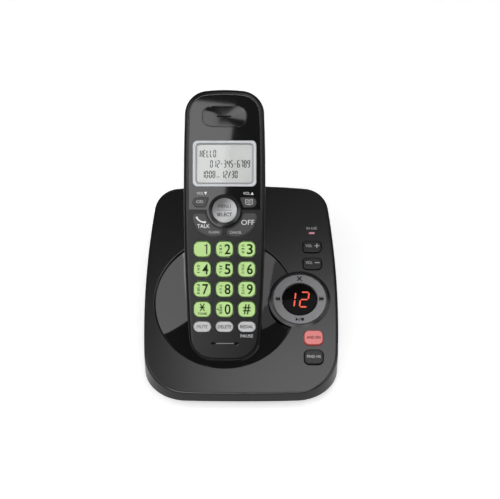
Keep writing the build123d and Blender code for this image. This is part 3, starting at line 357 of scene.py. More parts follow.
windowLook = {"colour": (0.94, 0.95, 0.94), "roughness": 0.02, "bend": 1.28}


def clearWindow(name, look):
    material, tree, shader = newMaterial(name)
    shader.inputs["Base Color"].default_value = (*look["colour"], 1.0)
    shader.inputs["Transmission Weight"].default_value = 1.0
    shader.inputs["Roughness"].default_value = look["roughness"]
    shader.inputs["IOR"].default_value = look["bend"]
    return material


# painted shade across the menu button: its direction, and how far its fade reaches
menu = faceOf("menu_button", handsetTurn)
menuShadeLook = {"side": 0.64, "rise": -0.77, "reach": 5.2 * mm}
sweepAlong = handsetTurn @ Vector((menuShadeLook["side"], menuShadeLook["rise"], 0.0))
sweepMiddle = sweepAlong.dot(handsetTurn @ Vector((menu["x"], menu["y"], menu["top"])))
menuShadeSweep = {
    "along": tuple(sweepAlong), "low": sweepMiddle - menuShadeLook["reach"], "high": sweepMiddle + menuShadeLook["reach"],
}
handsetOut = tuple(handsetTurn @ Vector((0.0, 0.0, 1.0)))
panelOut = tuple(panelTurn @ Vector((0.0, 0.0, 1.0)))
# the slots that get painted shade on their sides, and the way their faces look
outwardOf = {"key_green": handsetOut, "key_silver": handsetOut, "lit_button": panelOut}
materials = {
    slot: plasticFinish(slot, look, outwardOf.get(slot), menuShadeSweep if "far" in look else None)
    for slot, look in finishes.items()
}
materials["display_clear"] = clearWindow("display_clear", windowLook)
# the dish mirrors the lamps, and not the handset that leans over it
lifted = {"handset"} | {joint["child"] for joint in frame["joints"] if joint["parent"] == "handset"}
mirrored = {node for node in nodes if bodyOf[node] not in lifted}
for node, piece in nodes.items():
    piece.visible_glossy = node in mirrored
slotOf = {entry["node"]: entry["material_slot"] for entry in frame["record"]["subparts"]}
slotOf["handset_microphone"] = "microphone"
for node, piece in nodes.items():
    for place in piece.material_slots:
        place.material = materials[slotOf[node]]
print("finishes made and put on the nodes")


# drawn shapes, mostly prints and a few marks of painted shade and highlight: flat shapes drawn in a tilted frame,
# dropped on a node's surface and thickened a little
drawnShapeLook = {
    "thickness": 0.05 * mm, "lift": 0.03 * mm, "longest": 1.1 * mm, "rounds": 3, "merge": 0.002 * mm,
    "dropFrom": 1.0 * mm,
}
inksAndShades = {
    "whiteInk": {"colour": (0.80, 0.80, 0.81), "roughness": 0.5},
    "greyInk": {"colour": (0.52, 0.52, 0.53), "roughness": 0.5},
    "dimInkAndSlotHighlight": {"colour": (0.22, 0.22, 0.225), "roughness": 0.5},
    "darkInkAndHoleShade": {"colour": (0.008, 0.008, 0.009), "roughness": 0.6, "specular": 0.06},
    "greenInk": {"colour": (0.008, 0.026, 0.006), "roughness": 0.6, "specular": 0.06},
    "slateInk": {"colour": (0.022, 0.022, 0.025), "roughness": 0.6, "specular": 0.06},
    "roseInk": {"colour": (0.15, 0.012, 0.018), "roughness": 0.5, "specular": 0.1},
    "ringInk": {"colour": (0.011, 0.011, 0.012), "roughness": 0.28},
    "crystalInk": {"colour": (0.008, 0.008, 0.009), "roughness": 0.6, "specular": 0.06},
    "litRed": {
        "colour": (0.55, 0.03, 0.015), "roughness": 0.3, "spread": 0.02,
        "glow": (1.0, 0.130, 0.055), "glowStrength": 0.66,
    },
}
inkSpread = 0.05
for name, look in inksAndShades.items():
    materials[name] = plasticFinish(name, {"spread": inkSpread, "grain": 0.0, **look})


def addWords(drawing, words, x, y, height, width, bold=0.0, turn=0.0):
    curve = bpy.data.curves.new("words", "FONT")
    curve.body = words
    curve.align_x = "CENTER"
    curve.resolution_u = 3
    curve.offset = 0.0 if "M" in words else bold  # a bolder M closes up
    letters = bpy.data.objects.new("words", curve)
    bpy.context.scene.collection.objects.link(letters)
    shape = bpy.data.meshes.new_from_object(letters.evaluated_get(bpy.context.evaluated_depsgraph_get()))
    bpy.data.objects.remove(letters)
    corners = [vertex.co for vertex in shape.vertices]
    low = Vector((min(corner.x for corner in corners), min(corner.y for corner in corners), 0.0))
    high = Vector((max(corner.x for corner in corners), max(corner.y for corner in corners), 0.0))
    fit = Matrix.Diagonal((width / (high.x - low.x), height / (high.y - low.y), 1.0, 1.0))
    place = Matrix.Translation((x, y, 0.0)) @ Matrix.Rotation(math.radians(turn), 4, "Z") @ fit
    shape.transform(place @ Matrix.Translation(-(low + high) / 2))
    drawing.from_mesh(shape)
    bpy.data.meshes.remove(shape)


def addShape(drawing, corners, x=0.0, y=0.0):
    shape = drawing.faces.new([drawing.verts.new((x + corner[0], y + corner[1], 0.0)) for corner in corners])
    shape.normal_update()


def addBox(drawing, left, low, right, high, x, y):
    addShape(drawing, [(left, low), (right, low), (right, high), (left, high)], x, y)


def addBar(drawing, start, end, thickness, pointed):  # a bar with pointed ends, as a display segment has
    start, end = Vector(start), Vector(end)
    along = (end - start).normalized()
    across = Vector((-along.y, along.x)) * thickness / 2
    nose = along * thickness * pointed
    outline = [start, start + nose - across, end - nose - across, end, end - nose + across, start + nose + across]
    addShape(drawing, [(point.x, point.y) for point in outline])


def addDisc(drawing, x, y, radius):
    bmesh.ops.create_circle(
        drawing, cap_ends=True, segments=24, radius=radius, matrix=Matrix.Translation((x, y, 0.0))
    )


def bridge(drawing, first, second):  # faces between two closed rings of vertices
    for place in range(len(first)):
        drawing.faces.new([first[place - 1], first[place], second[place], second[place - 1]])


def addFrame(drawing, x, y, look):  # a line round a rounded rectangle
    radius = look["radius"]
    rings = []
    for inset in (0.0, look["thickness"]):
        ring = []
        for corner, (side, rise) in enumerate(((1, 1), (-1, 1), (-1, -1), (1, -1))):
            for step in range(look["steps"] + 1):
                turn = math.pi / 2 * (corner + step / look["steps"])
                across = x + side * (look["halfWide"] - radius) + (radius - inset) * math.cos(turn)
                up = y + rise * (look["halfHigh"] - radius) + (radius - inset) * math.sin(turn)
                ring.append(drawing.verts.new((across, up, 0.0)))
        rings.append(ring)
    bridge(drawing, *rings)


def addObject(drawing, name, material):
    mesh = bpy.data.meshes.new(name)
    drawing.to_mesh(mesh)
    drawing.free()
    mesh.materials.append(material)
    piece = bpy.data.objects.new(name, mesh)
    bpy.context.scene.collection.objects.link(piece)
    return piece


def thicken(piece, depth):
    skin = piece.modifiers.new("thickness", "SOLIDIFY")
    skin.thickness = depth
    skin.offset = -1.0


def finishDrawnShape(drawing, name, node, turn, markMaterial, lift=drawnShapeLook["lift"]):
    bmesh.ops.triangulate(drawing, faces=drawing.faces[:])
    for _ in range(drawnShapeLook["rounds"]):
        long = [edge for edge in drawing.edges if edge.calc_length() > drawnShapeLook["longest"]]
        if long:
            bmesh.ops.subdivide_edges(drawing, edges=long, cuts=1)
            bmesh.ops.triangulate(drawing, faces=drawing.faces[:])
    bmesh.ops.remove_doubles(drawing, verts=drawing.verts[:], dist=drawnShapeLook["merge"])
    face = faceOf(node, turn)
    for vertex in drawing.verts:
        above = Vector((vertex.co.x, vertex.co.y, face["top"] + drawnShapeLook["dropFrom"]))
        hit = face["tree"].ray_cast(above, Vector((0.0, 0.0, -1.0)))[0]
        vertex.co.z = (hit.z if hit else face["top"]) + lift
    for flat in drawing.faces:
        flat.normal_update()
        if flat.normal.z < 0:
            flat.normal_flip()
    drawing.transform(turn)
    piece = addObject(drawing, name, materials[markMaterial])
    thicken(piece, drawnShapeLook["thickness"])
    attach(piece, bodyOf[node])
    piece.visible_glossy = node in mirrored


# the earpiece: a shallow dish with rounded corners, flush with the faceplate at its rim, and the slot in it
earLook = {
    "halfWide": 12.95 * mm, "halfHigh": 6.2 * mm, "corner": 3.4, "depth": 0.95 * mm, "proud": 0.03 * mm,
    "curve": 1.8, "rings": 12, "steps": 72, "wall": 0.3 * mm,
    "slotLong": 4.3 * mm, "slotThick": 0.9 * mm, "slotAside": -0.3 * mm, "slotPointed": 0.5,
}
ear = faceOf("earpiece_insert", handsetTurn)
dished = bmesh.new()
centre = dished.verts.new((ear["x"], ear["y"], ear["top"] - earLook["depth"]))
ringBefore = None
for level in range(1, earLook["rings"] + 1):
    share = level / earLook["rings"]
    z = ear["top"] + earLook["proud"] - earLook["depth"] * (1 - share ** earLook["curve"])
    ringNow = []
    for step in range(earLook["steps"]):
        turn = 2 * math.pi * step / earLook["steps"]
        across, up = (
            math.copysign(abs(part) ** (2 / earLook["corner"]), part) * half * share
            for part, half in ((math.cos(turn), earLook["halfWide"]), (math.sin(turn), earLook["halfHigh"]))
        )
        ringNow.append(dished.verts.new((ear["x"] + across, ear["y"] + up, z)))
    for step in range(earLook["steps"]):
        if ringBefore:
            dished.faces.new([ringBefore[step - 1], ringNow[step - 1], ringNow[step], ringBefore[step]])
        else:
            dished.faces.new([centre, ringNow[step - 1], ringNow[step]])
    ringBefore = ringNow
for flat in dished.faces:
    flat.smooth = True
dished.transform(handsetTurn)
earpieceDish = addObject(dished, "earpiece_dish", materials["earpiece"])
thicken(earpieceDish, earLook["wall"])
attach(earpieceDish, bodyOf["earpiece_insert"])
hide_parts("earpiece_insert")
earpieceDish.visible_glossy = False

# painted shade: the slot is a dark bar laid on the dish where the opening's shade is, not a cut
drawing = bmesh.new()
x = ear["x"] + earLook["slotAside"]
slotEnds = [(x - earLook["slotLong"], ear["y"]), (x + earLook["slotLong"], ear["y"])]
addBar(drawing, *slotEnds, earLook["slotThick"], earLook["slotPointed"])
finishDrawnShape(drawing, "earpiece_slot", "earpiece_insert", handsetTurn, "darkInkAndHoleShade")

keypad = {
    "digitHeight": 5.9 * mm, "digitWidth": 3.4 * mm, "digitAside": 1.75 * mm, "digitBold": 0.014,
    "letterHeight": 1.5 * mm, "letterPitch": 1.9 * mm, "fourPitch": 0.78 * 1.9 * mm, "letterAside": -2.2 * mm,
    "letterBold": 0.024, "letterWidth": 1.15 * mm, "widths": {"I": 0.4 * mm, "M": 1.4 * mm, "W": 1.4 * mm},
    "plusAside": -3.75 * mm, "plusHalf": 0.75 * mm, "plusLine": 0.15 * mm,
}
# the digit 1: its right edge, stroke and flag, and how far below the top its corners lie
one = {
    "aside": 1.15 * mm, "stroke": 0.72 * mm, "flag": 1.75 * mm, "shoulder": 0.55,
    "notch": 0.45 * mm, "tip": 0.85 * mm, "heel": 1.3 * mm, "join": 1.0 * mm,
}
digitLetters = {
    "key_1": ("1", ""), "key_2": ("2", "ABC"), "key_3": ("3", "DEF"), "key_4": ("4", "GHI"),
    "key_5": ("5", "JKL"), "key_6": ("6", "MNO"), "key_7": ("7", "PQRS"), "key_8": ("8", "TUV"),
    "key_9": ("9", "WXYZ"), "key_0": ("0", "OPER"),
}
for node, (digit, letters) in digitLetters.items():
    key = faceOf(node, handsetTurn)
    drawing = bmesh.new()
    x = key["x"] + keypad["digitAside"]
    if digit == "1":
        right, half = one["aside"], keypad["digitHeight"] / 2
        left, tip = right - one["stroke"], right - one["flag"]
        addShape(drawing, [
            (left, -half), (right, -half), (right, half), (right - one["shoulder"] * one["stroke"], half),
            (left, half - one["notch"]), (tip, half - one["tip"]), (tip, half - one["heel"]),
            (left, half - one["join"]),
        ], x, key["y"])
    else:
        addWords(drawing, digit, x, key["y"], keypad["digitHeight"], keypad["digitWidth"], keypad["digitBold"])
    pitch = keypad["fourPitch"] if len(letters) == 4 else keypad["letterPitch"]
    for step, letter in enumerate(letters):
        y = key["y"] + pitch * ((len(letters) - 1) / 2 - step)
        addWords(
            drawing, letter, key["x"] + keypad["letterAside"], y, keypad["letterHeight"],
            keypad["widths"].get(letter, keypad["letterWidth"]), keypad["letterBold"], turn=-90.0,
        )
    if digit == "0":
        long, line = keypad["plusHalf"], keypad["plusLine"]
        for across, up in ((long, line), (line, long)):
            addBox(drawing, -across, -up, across, up, key["x"] + keypad["plusAside"], key["y"])
    finishDrawnShape(drawing, node + "_legend", node, handsetTurn, "greenInk")

starLook = {
    "leaning": 2.408 * mm, "level": 1.462 * mm, "thickness": 0.62 * mm, "rise": 1.1 * mm, "pointed": 0.1,
    "wordHeight": 1.3 * mm, "wordWidth": 5.2 * mm, "wordFall": -2.55 * mm, "bold": 0.02,
}
star = faceOf("key_star", handsetTurn)
middle = Vector((star["x"], star["y"] + starLook["rise"]))
drawing = bmesh.new()
for degrees, reach in ((60, starLook["leaning"]), (120, starLook["leaning"]), (0, starLook["level"])):
    step = Vector((math.cos(math.radians(degrees)), math.sin(math.radians(degrees)))) * reach
    addBar(drawing, middle - step, middle + step, starLook["thickness"], starLook["pointed"])
addWords(
    drawing, "TONE", star["x"], star["y"] + starLook["wordFall"], starLook["wordHeight"], starLook["wordWidth"],
    starLook["bold"],
)
finishDrawnShape(drawing, "key_star_legend", "key_star", handsetTurn, "greenInk")

poundLook = {
    "half": 2.9 * mm, "gap": 0.85 * mm, "reach": 2.2 * mm, "lean": 0.45 * mm, "thickness": 0.72 * mm,
    "pointed": 0.05,
}
pound = faceOf("key_pound", handsetTurn)
lean, half, reach = poundLook["lean"], poundLook["half"], poundLook["reach"]
drawing = bmesh.new()
for shift in (-poundLook["gap"], poundLook["gap"]):
    x, y = pound["x"] + shift, pound["y"] + shift
    for start, end in (
        ((x - lean, pound["y"] - half), (x + lean, pound["y"] + half)),
        ((pound["x"] - reach, y), (pound["x"] + reach, y)),
    ):
        addBar(drawing, start, end, poundLook["thickness"], poundLook["pointed"])
finishDrawnShape(drawing, "key_pound_legend", "key_pound", handsetTurn, "greenInk")

pillLook = {
    "height": 1.85 * mm, "bold": 0.014,
    "words": {
        "mute_key": ("MUTE", 6.1 * mm), "delete_key": ("DELETE", 7.7 * mm), "redial_key": ("REDIAL", 7.4 * mm),
    },
}
for node, (words, width) in pillLook["words"].items():
    key = faceOf(node, handsetTurn)
    drawing = bmesh.new()
    addWords(drawing, words, key["x"], key["y"], pillLook["height"], width, pillLook["bold"])
    finishDrawnShape(drawing, node + "_legend", node, handsetTurn, "slateInk")

pauseLook = {"fall": -5.3 * mm, "height": 1.85 * mm, "width": 7.2 * mm, "bold": 0.024}
redial = faceOf("redial_key", handsetTurn)
drawing = bmesh.new()
addWords(
    drawing, "PAUSE", redial["x"], redial["y"] + pauseLook["fall"], pauseLook["height"], pauseLook["width"],
    pauseLook["bold"],
)
finishDrawnShape(drawing, "pause_word", "handset_front_shell", handsetTurn, "greyInk")

# the microphone's slot: a pale line between two dark ends, each with its start, end, thickness and material; the
# pale line is a painted highlight along the slot, and the dark ends are painted shade in its holes
slotLook = {
    "fall": -76.1 * mm, "pointed": 0.3,
    "parts": {
        "line": (-4.9 * mm, 5.3 * mm, 0.5 * mm, "dimInkAndSlotHighlight"), "left": (-8.0 * mm, -5.1 * mm, 1.35 * mm, "darkInkAndHoleShade"),
        "right": (5.4 * mm, 8.0 * mm, 1.35 * mm, "darkInkAndHoleShade"),
    },
}
y = menu["y"] + slotLook["fall"]
for part, (low, high, thickness, markMaterial) in slotLook["parts"].items():
    drawing = bmesh.new()
    addBar(drawing, (menu["x"] + low, y), (menu["x"] + high, y), thickness, slotLook["pointed"])
    finishDrawnShape(drawing, "microphone_slot_" + part, "handset_front_shell", handsetTurn, markMaterial)
print("keypad legends printed")

menuLook = {
    "height": 2.1 * mm, "menu": (2.1 * mm, 7.0 * mm), "select": (-2.5 * mm, 8.7 * mm), "bold": 0.018,
    "ruleHalf": 4.4 * mm, "ruleLine": 0.22 * mm, "rulePointed": 0.5,
}
drawing = bmesh.new()
for words, (rise, width) in (("MENU", menuLook["menu"]), ("SELECT", menuLook["select"])):
    addWords(drawing, words, menu["x"], menu["y"] + rise, menuLook["height"], width, menuLook["bold"])
ruleEnds = [(menu["x"] - menuLook["ruleHalf"], menu["y"]), (menu["x"] + menuLook["ruleHalf"], menu["y"])]
addBar(drawing, *ruleEnds, menuLook["ruleLine"], menuLook["rulePointed"])
finishDrawnShape(drawing, "menu_button_legend", "menu_button", handsetTurn, "slateInk")

collar = {"inner": 7.45 * mm, "outer": 9.15 * mm, "steps": 60}
drawing = bmesh.new()
rims = []
for radius in (collar["inner"], collar["outer"]):
    rims.append([
        drawing.verts.new((menu["x"] + radius * math.cos(turn), menu["y"] + radius * math.sin(turn), 0.0))
        for turn in (2 * math.pi * step / collar["steps"] for step in range(collar["steps"]))
    ])
bridge(drawing, *rims)
finishDrawnShape(drawing, "menu_button_collar", "handset_faceplate", handsetTurn, "ringInk")

# words around the menu button: node, words, place from its middle, height and width in mm, boldness, ink
keyWords = {
    "volume_down_word": ("handset_faceplate", "VOL", -13.95, 9.6, 1.6, 3.9, 0.006, "whiteInk"),
    "volume_up_word": ("handset_faceplate", "VOL", 12.6, 9.6, 1.6, 3.9, 0.006, "whiteInk"),
    "caller_list_word": ("caller_list_key", "CID", -14.1, 4.85, 1.6, 4.0, 0.02, "greyInk"),
    "talk_word": ("talk_key", "TALK", -12.0, -9.1, 2.2, 7.3, 0.016, "whiteInk"),
    "flash_word": ("talk_key", "FLASH", -6.0, -12.6, 1.4, 5.8, 0.016, "greyInk"),
    "off_word": ("off_key", "OFF", 13.3, -7.0, 2.9, 7.5, 0.004, "whiteInk"),
    "cancel_word": ("off_key", "CANCEL", 6.4, -12.7, 1.45, 6.6, 0.016, "greyInk"),
}
for name, (node, words, x, y, height, width, bold, markMaterial) in keyWords.items():
    drawing = bmesh.new()
    addWords(drawing, words, menu["x"] + x * mm, menu["y"] + y * mm, height * mm, width * mm, bold)
    finishDrawnShape(drawing, name, node, handsetTurn, markMaterial)

# the arrows point up or down, at a distance to the side of the menu button's middle
arrowLook = {
    "half": 0.85 * mm, "rise": 9.6 * mm,
    "arrows": {"volume_down_arrow": (-10.75 * mm, -1), "volume_up_arrow": (15.75 * mm, 1)},
}
half = arrowLook["half"]
for name, (aside, points) in arrowLook["arrows"].items():
    drawing = bmesh.new()
    corners = [(-half, -points * half), (half, -points * half), (0.0, points * half)]
    addShape(drawing, corners, menu["x"] + aside, menu["y"] + arrowLook["rise"])
    finishDrawnShape(drawing, name, "handset_faceplate", handsetTurn, "whiteInk")

book = {
    "aside": 14.0 * mm, "rise": 4.85 * mm, "half": 2.0 * mm, "height": 1.3 * mm, "fold": 0.45 * mm,
    "thickness": 0.34 * mm, "pointed": 0.2,
    "lines": (0.45 * mm, -0.35 * mm), "lineFrom": 0.55 * mm, "lineMargin": 0.5 * mm, "lineFall": 0.2 * mm,
    "lineThickness": 0.238 * mm,
}
x, y = menu["x"] + book["aside"], menu["y"] + book["rise"]
top, low, fold = y + book["height"], y - book["height"], book["fold"]
strokes = []
for side in (-1, 1):
    outer = x + side * book["half"]
    page = ((x, top - fold), (outer, top)), ((x, low - fold), (outer, low)), ((outer, low), (outer, top))
    for start, end in page:
        strokes.append((start, end, book["thickness"]))
    for line in book["lines"]:
        start = (x + side * book["lineFrom"], y + line - book["lineFall"])
        strokes.append((start, (outer - side * book["lineMargin"], y + line), book["lineThickness"]))
strokes.append(((x, low - fold), (x, top - fold), book["thickness"]))
drawing = bmesh.new()
for start, end, thickness in strokes:
    addBar(drawing, start, end, thickness, book["pointed"])
finishDrawnShape(drawing, "directory_key_legend", "directory_key", handsetTurn, "greyInk")

# the receiver sign: a sagging line with a swell near each end, placed from the menu button's middle, in mm
phone = {
    "from": (-16.3, -3.9), "to": (-10.6, -7.1), "sag": 0.85, "grip": 0.42, "swell": 0.42, "reach": 0.24,
    "endShare": 0.45, "steps": 20,
}
start, end = (Vector((menu["x"] + x * mm, menu["y"] + y * mm)) for x, y in (phone["from"], phone["to"]))
along = (end - start).normalized()
below = Vector((along.y, -along.x)) * mm
over, under = [], []
for step in range(phone["steps"] + 1):
    share = step / phone["steps"]
    middle = start.lerp(end, share) + below * phone["sag"] * 4 * share * (1 - share)
    near = min(share, 1 - share) / phone["reach"]
    swell = phone["swell"] * math.sqrt(max(0.0, 1 - (near - 0.5) ** 2 * 4)) if near < 1 else 0.0
    over.append(middle - below * (phone["grip"] * min(1.0, phone["endShare"] + near * 2) + swell))
    under.append(middle + below * phone["grip"])
drawing = bmesh.new()
addShape(drawing, [(point.x, point.y) for point in over + under[::-1]])
finishDrawnShape(drawing, "phone_sign", "talk_key", handsetTurn, "whiteInk")
print("menu, soft and call keys printed")

segmentEnds = {  # each segment of a character, on a grid one wide and two high
    "a": ((0, 2), (1, 2)), "b": ((1, 2), (1, 1)), "c": ((1, 1), (1, 0)), "d": ((0, 0), (1, 0)),
    "e": ((0, 1), (0, 0)), "f": ((0, 2), (0, 1)), "g": ((0, 1), (1, 1)), "s": ((1, 2), (0, 0)),
}
characters = {
    "0": "abcdef", "1": "bc", "2": "abged", "3": "abgcd", "4": "fgbc", "5": "afgcd", "6": "afgecd", "7": "abc",
    "8": "abcdefg", "9": "abcdfg", "-": "g", "/": "s", "H": "bcefg", "E": "adefg", "L": "def", "O": "abcdef",
}


def addCharacter(drawing, character, x, y, look):
    for name in characters[character]:
        ends = []
        for across, up in segmentEnds[name]:
            rise = (up / 2 - 0.5) * look["height"]
            ends.append(Vector((x + (across - 0.5) * look["width"] + rise * look["slant"], y + rise)))
        gap = (ends[1] - ends[0]).normalized() * look["thickness"] * look["split"]
        addBar(drawing, ends[0] + gap, ends[1] - gap, look["thickness"], look["pointed"])


# the display: characters and their pitch, the colon's dots as shares of these, and each row's start in mm
displayLook = {
    "width": 1.12 * mm, "height": 3.85 * mm, "pitch": 1.93 * mm, "thickness": 0.52 * mm, "slant": 0.03,
    "split": 0.1, "pointed": 0.5, "lift": 0.02 * mm,
    "dot": 0.24 * mm, "colonBack": 0.42, "colonRise": 0.22, "colonStep": 0.16,
    "rows": (
        ("HELLO", -13.4, 5.75), ("012-345-6789", -7.5, -0.1), ("10:08", -12.2, -6.15), ("12/30", -1.1, -6.15),
    ),
    "halfDay": {"words": "AM", "aside": -3.8 * mm, "rise": -7.6 * mm, "height": 0.9 * mm, "width": 1.7 * mm},
}
panel = faceOf("display_panel", handsetTurn)
pitch = displayLook["pitch"]
drawing = bmesh.new()
for words, left, rise in displayLook["rows"]:
    x, y = panel["x"] + left * mm, panel["y"] + rise * mm
    for character in words:
        if character == ":":
            dotRise = displayLook["height"] * displayLook["colonRise"]
            for side in (-1, 1):
                addDisc(drawing, x - displayLook["colonBack"] * pitch, y + side * dotRise, displayLook["dot"])
            x += displayLook["colonStep"] * pitch
        else:
            addCharacter(drawing, character, x, y, displayLook)
            x += pitch
halfDay = displayLook["halfDay"]
addWords(
    drawing, halfDay["words"], panel["x"] + halfDay["aside"], panel["y"] + halfDay["rise"], halfDay["height"],
    halfDay["width"],
)
finishDrawnShape(drawing, "display_characters", "display_panel", handsetTurn, "crystalInk", displayLook["lift"])

edgeLook = {"halfWide": 16.3 * mm, "halfHigh": 11.4 * mm, "radius": 1.7 * mm, "thickness": 0.58 * mm, "steps": 5}
lens = faceOf("display_lens", handsetTurn)
drawing = bmesh.new()
addFrame(drawing, lens["x"], lens["y"], edgeLook)
finishDrawnShape(drawing, "display_edge_line", "display_lens", handsetTurn, "dimInkAndSlotHighlight")
print("display written")

counterLook = {
    "width": 4.6 * mm, "height": 9.3 * mm, "thickness": 0.84 * mm, "slant": 0.13, "split": 0.36, "pointed": 0.5,
    "fall": -0.2 * mm, "digits": {"1": -5.1 * mm, "2": 2.7 * mm},
}
counter = faceOf("message_counter_lens", panelTurn)
drawing = bmesh.new()
for character, aside in counterLook["digits"].items():
    addCharacter(drawing, character, counter["x"] + aside, counter["y"] + counterLook["fall"], counterLook)
finishDrawnShape(drawing, "counter_digits_lit", "message_counter_lens", panelTurn, "litRed")

# the ring's signs: a cross above, double arrows at the sides, and play, slash and stop below
signs = {
    "reach": 12.95 * mm, "arm": 1.4 * mm, "line": 0.68 * mm, "pointed": 0.1,
    "arrowHigh": 1.5 * mm, "arrowLong": 0.85 * mm, "arrowsAt": (-0.7 * mm, 0.65 * mm),
    "playFrom": -2.5 * mm, "playTo": -0.65 * mm, "playHigh": 1.1 * mm,
    "slashFrom": (-0.5 * mm, -1.0 * mm), "slashTo": (0.3 * mm, 1.0 * mm), "slashLine": 0.42 * mm,
    "stopFrom": 0.65 * mm, "stopTo": 2.35 * mm, "stopHigh": 0.9 * mm,
}
drawing = bmesh.new()
top = Vector((counter["x"], counter["y"] + signs["reach"]))
low = Vector((counter["x"], counter["y"] - signs["reach"]))
for side in (-1, 1):
    arm = Vector((side * signs["arm"], signs["arm"]))
    addBar(drawing, top - arm, top + arm, signs["line"], signs["pointed"])
    long, high = side * signs["arrowLong"], signs["arrowHigh"]
    for shift in signs["arrowsAt"]:
        x = counter["x"] + side * (signs["reach"] + shift)
        addShape(drawing, [(-long, -high), (long, 0.0), (-long, high)], x, counter["y"])
play = [(signs["playFrom"], -signs["playHigh"]), (signs["playTo"], 0.0), (signs["playFrom"], signs["playHigh"])]
addShape(drawing, play, *low)
slashEnds = [low + Vector(signs["slashFrom"]), low + Vector(signs["slashTo"])]
addBar(drawing, *slashEnds, signs["slashLine"], signs["pointed"])
addBox(drawing, signs["stopFrom"], -signs["stopHigh"], signs["stopTo"], signs["stopHigh"], *low)
finishDrawnShape(drawing, "message_ring_signs", "message_ring", panelTurn, "darkInkAndHoleShade")

lampLook = {"rise": 3.2 * mm, "height": 1.6 * mm, "width": 6.1 * mm}
lamp = faceOf("in_use_lamp", panelTurn)
drawing = bmesh.new()
addWords(drawing, "IN USE", lamp["x"], lamp["y"] + lampLook["rise"], lampLook["height"], lampLook["width"])
finishDrawnShape(drawing, "in_use_words", "base_top_housing", panelTurn, "greyInk")

volumeLook = {
    "wordAside": -1.9 * mm, "signAside": 2.9 * mm, "rise": 0.4 * mm, "height": 1.8 * mm, "width": 4.0 * mm,
    "bold": 0.012, "signHalf": 1.45 * mm, "signLine": 0.5 * mm, "pointed": 0.1,
}
for node, strokes in (("volume_up_button", ((1, 0), (0, 1))), ("volume_down_button", ((1, 0),))):
    button = faceOf(node, panelTurn)
    y = button["y"] + volumeLook["rise"]
    drawing = bmesh.new()
    addWords(
        drawing, "VOL", button["x"] + volumeLook["wordAside"], y, volumeLook["height"], volumeLook["width"],
        volumeLook["bold"],
    )
    middle = Vector((button["x"] + volumeLook["signAside"], y))
    for stroke in strokes:
        reach = Vector(stroke) * volumeLook["signHalf"]
        addBar(drawing, middle - reach, middle + reach, volumeLook["signLine"], volumeLook["pointed"])
    finishDrawnShape(drawing, node + "_legend", node, panelTurn, "greyInk")

buttonLook = {
    "height": 1.8 * mm, "width": 8.0 * mm, "bold": 0.022,
    "words": {"answer_on_button": ("ANS ON", "roseInk"), "find_handset_button": ("FIND HS", "greyInk")},
}
for node, (words, markMaterial) in buttonLook["words"].items():
    button = faceOf(node, panelTurn)
    drawing = bmesh.new()
    addWords(
        drawing, words, button["x"], button["y"], buttonLook["height"], buttonLook["width"], buttonLook["bold"]
    )
    finishDrawnShape(drawing, node + "_legend", node, panelTurn, markMaterial)
print("base printed")


# each lamp: middle, the point it looks at, its turn in degrees, its size in metres and how bright it looks
studio = {
    "floorSize": 8.0, "floorColour": (0.86, 0.86, 0.87), "floorGlow": 0.58, "floorMirrored": 0.2,
    "world": 0.12,
    "lamps": {
        "overheadSoftbox": {
            "centre": (0.185, -0.394, 0.90), "aim": (0.185, -0.394, 0.0),
            "spin": 12.0, "size": (0.34, 0.90), "glow": 3.1,
        },
        "rightSoftbox": {
            "centre": (0.42, -0.065, 1.00), "aim": (0.0, -0.065, 1.00),
            "spin": 8.5, "size": (0.86, 0.85), "glow": 2.4,
            "only": "cradle_dish",
        },
        "leftSoftbox": {
            "centre": (-0.42, -0.025, 1.20), "aim": (0.0, -0.025, 1.20),
            "spin": 28.0, "size": (0.75, 1.20), "glow": 0.75,
            "only": "cradle_dish",
        },
        "upperLeftStrip": {
            "centre": (-0.315, -0.126, 0.90), "aim": (-0.315, -0.126, 0.0),
            "spin": -21.0, "size": (0.14, 0.60), "glow": 1.2,
            "only": "cradle_dish",
        },
        "leftFill": {
            "centre": (-0.65, -0.25, 0.75), "aim": (0.0, -0.02, 0.05),
            "spin": 0.0, "size": (0.60, 0.60), "glow": 1.9,
            "except": "cradle_dish",
        },
        "rightFill": {
            "centre": (0.75, -0.22, 0.66), "aim": (0.0, -0.02, 0.05),
            "spin": 0.0, "size": (0.60, 0.60), "glow": 1.1,
            "except": "cradle_dish",
        },
        "edgeStrip": {
            "centre": (0.0, -1.10, 0.50), "aim": (0.0, 0.0, 0.05),
            "spin": 0.0, "size": (1.40, 0.16), "glow": 7.0,
            "only": "base_top_housing",
        },
        "rightEdgeStrip": {
            "centre": (1.10, -0.40, 0.36), "aim": (0.0, 0.0, 0.05),
            "spin": 0.0, "size": (1.10, 0.16), "glow": 5.0,
            "only": "base_top_housing",
        },
        "backSoftbox": {
            "centre": (0.0, 1.20, 0.45), "aim": (0.0, 0.0, 0.05),
            "spin": 0.0, "size": (1.20, 0.50), "glow": 3.0,
            "only": "base_top_housing",
        },
        "frontSoftbox": {
            "centre": (-0.339, -0.774, 0.767), "aim": (-0.339, -0.067, 0.060),
            "spin": -6.5, "size": (0.60, 0.506), "glow": 3.3,
        },
    },
}


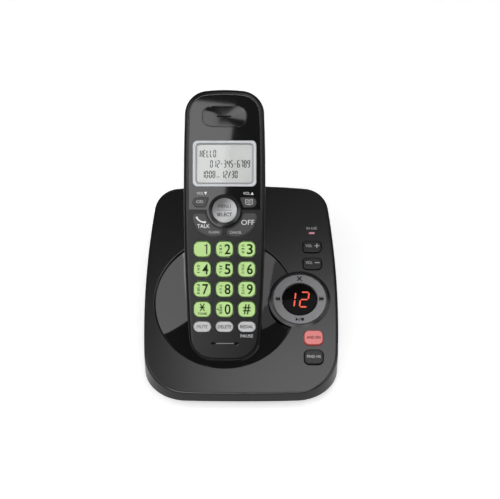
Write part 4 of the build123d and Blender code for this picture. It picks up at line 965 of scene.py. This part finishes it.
def addSoftbox(name, look):
    lamp = bpy.data.lights.new(name, "AREA")
    lamp.shape = "RECTANGLE"
    lamp.size, lamp.size_y = look["size"]
    lamp.energy = look["glow"] * math.pi * lamp.size * lamp.size_y
    place = bpy.data.objects.new(name, lamp)
    bpy.context.scene.collection.objects.link(place)
    centre, aim = Vector(look["centre"]), Vector(look["aim"])
    turn = (aim - centre).to_track_quat("-Z", "Y").to_matrix().to_4x4()
    place.matrix_world = Matrix.Translation(centre) @ turn @ Matrix.Rotation(math.radians(look["spin"]), 4, "Z")
    for rule, state in (("only", "INCLUDE"), ("except", "EXCLUDE")):
        if rule in look:  # a lamp kept for one piece, or kept off it
            kept = bpy.data.collections.new(name)
            kept.objects.link(nodes[look[rule]])
            kept.collection_objects[0].light_linking.link_state = state
            place.light_linking.receiver_collection = kept


def makeFloor():
    sheet = bmesh.new()
    bmesh.ops.create_grid(sheet, x_segments=1, y_segments=1, size=studio["floorSize"] / 2)
    mesh = bpy.data.meshes.new("floor")
    sheet.to_mesh(mesh)
    sheet.free()
    floor = bpy.data.objects.new("floor", mesh)
    bpy.context.scene.collection.objects.link(floor)
    material, tree, shader = newMaterial("paleFloor")
    shader.inputs["Base Color"].default_value = (*studio["floorColour"], 1.0)
    shader.inputs["Roughness"].default_value = 0.9
    shader.inputs["Specular IOR Level"].default_value = 0.0
    rays = tree.nodes.new("ShaderNodeLightPath")
    reflected = mathIn(tree, "MULTIPLY", rays.outputs["Is Glossy Ray"], studio["floorMirrored"])
    seen = mathIn(tree, "MAXIMUM", rays.outputs["Is Camera Ray"], reflected)
    seen = mathIn(tree, "MAXIMUM", seen, rays.outputs["Is Transmission Ray"])
    shader.inputs["Emission Color"].default_value = (1.0, 1.0, 1.0, 1.0)
    tree.links.new(mathIn(tree, "MULTIPLY", seen, studio["floorGlow"]), shader.inputs["Emission Strength"])
    mesh.materials.append(material)


makeFloor()
for name, look in studio["lamps"].items():
    addSoftbox(name, look)
world = bpy.data.worlds.new("studio")
world.use_nodes = True
world.node_tree.nodes["Background"].inputs["Strength"].default_value = studio["world"]
world.node_tree.nodes["Background"].inputs["Color"].default_value = (1.0, 1.0, 1.0, 1.0)
bpy.context.scene.world = world

cameraLook = {"place": (5.13 * mm, -717.81 * mm, 781.05 * mm), "down": 45.0, "lens": 126.14, "sensor": 36.0}
cameraData = bpy.data.cameras.new("camera")
cameraData.lens = cameraLook["lens"]
cameraData.sensor_width = cameraLook["sensor"]
cameraData.clip_start = 0.01
camera = bpy.data.objects.new("camera", cameraData)
bpy.context.scene.collection.objects.link(camera)
camera.location = cameraLook["place"]
camera.rotation_euler = (math.radians(cameraLook["down"]), 0.0, 0.0)
bpy.context.scene.camera = camera
bpy.context.scene.view_settings.view_transform = "Standard"
print("studio and camera set")
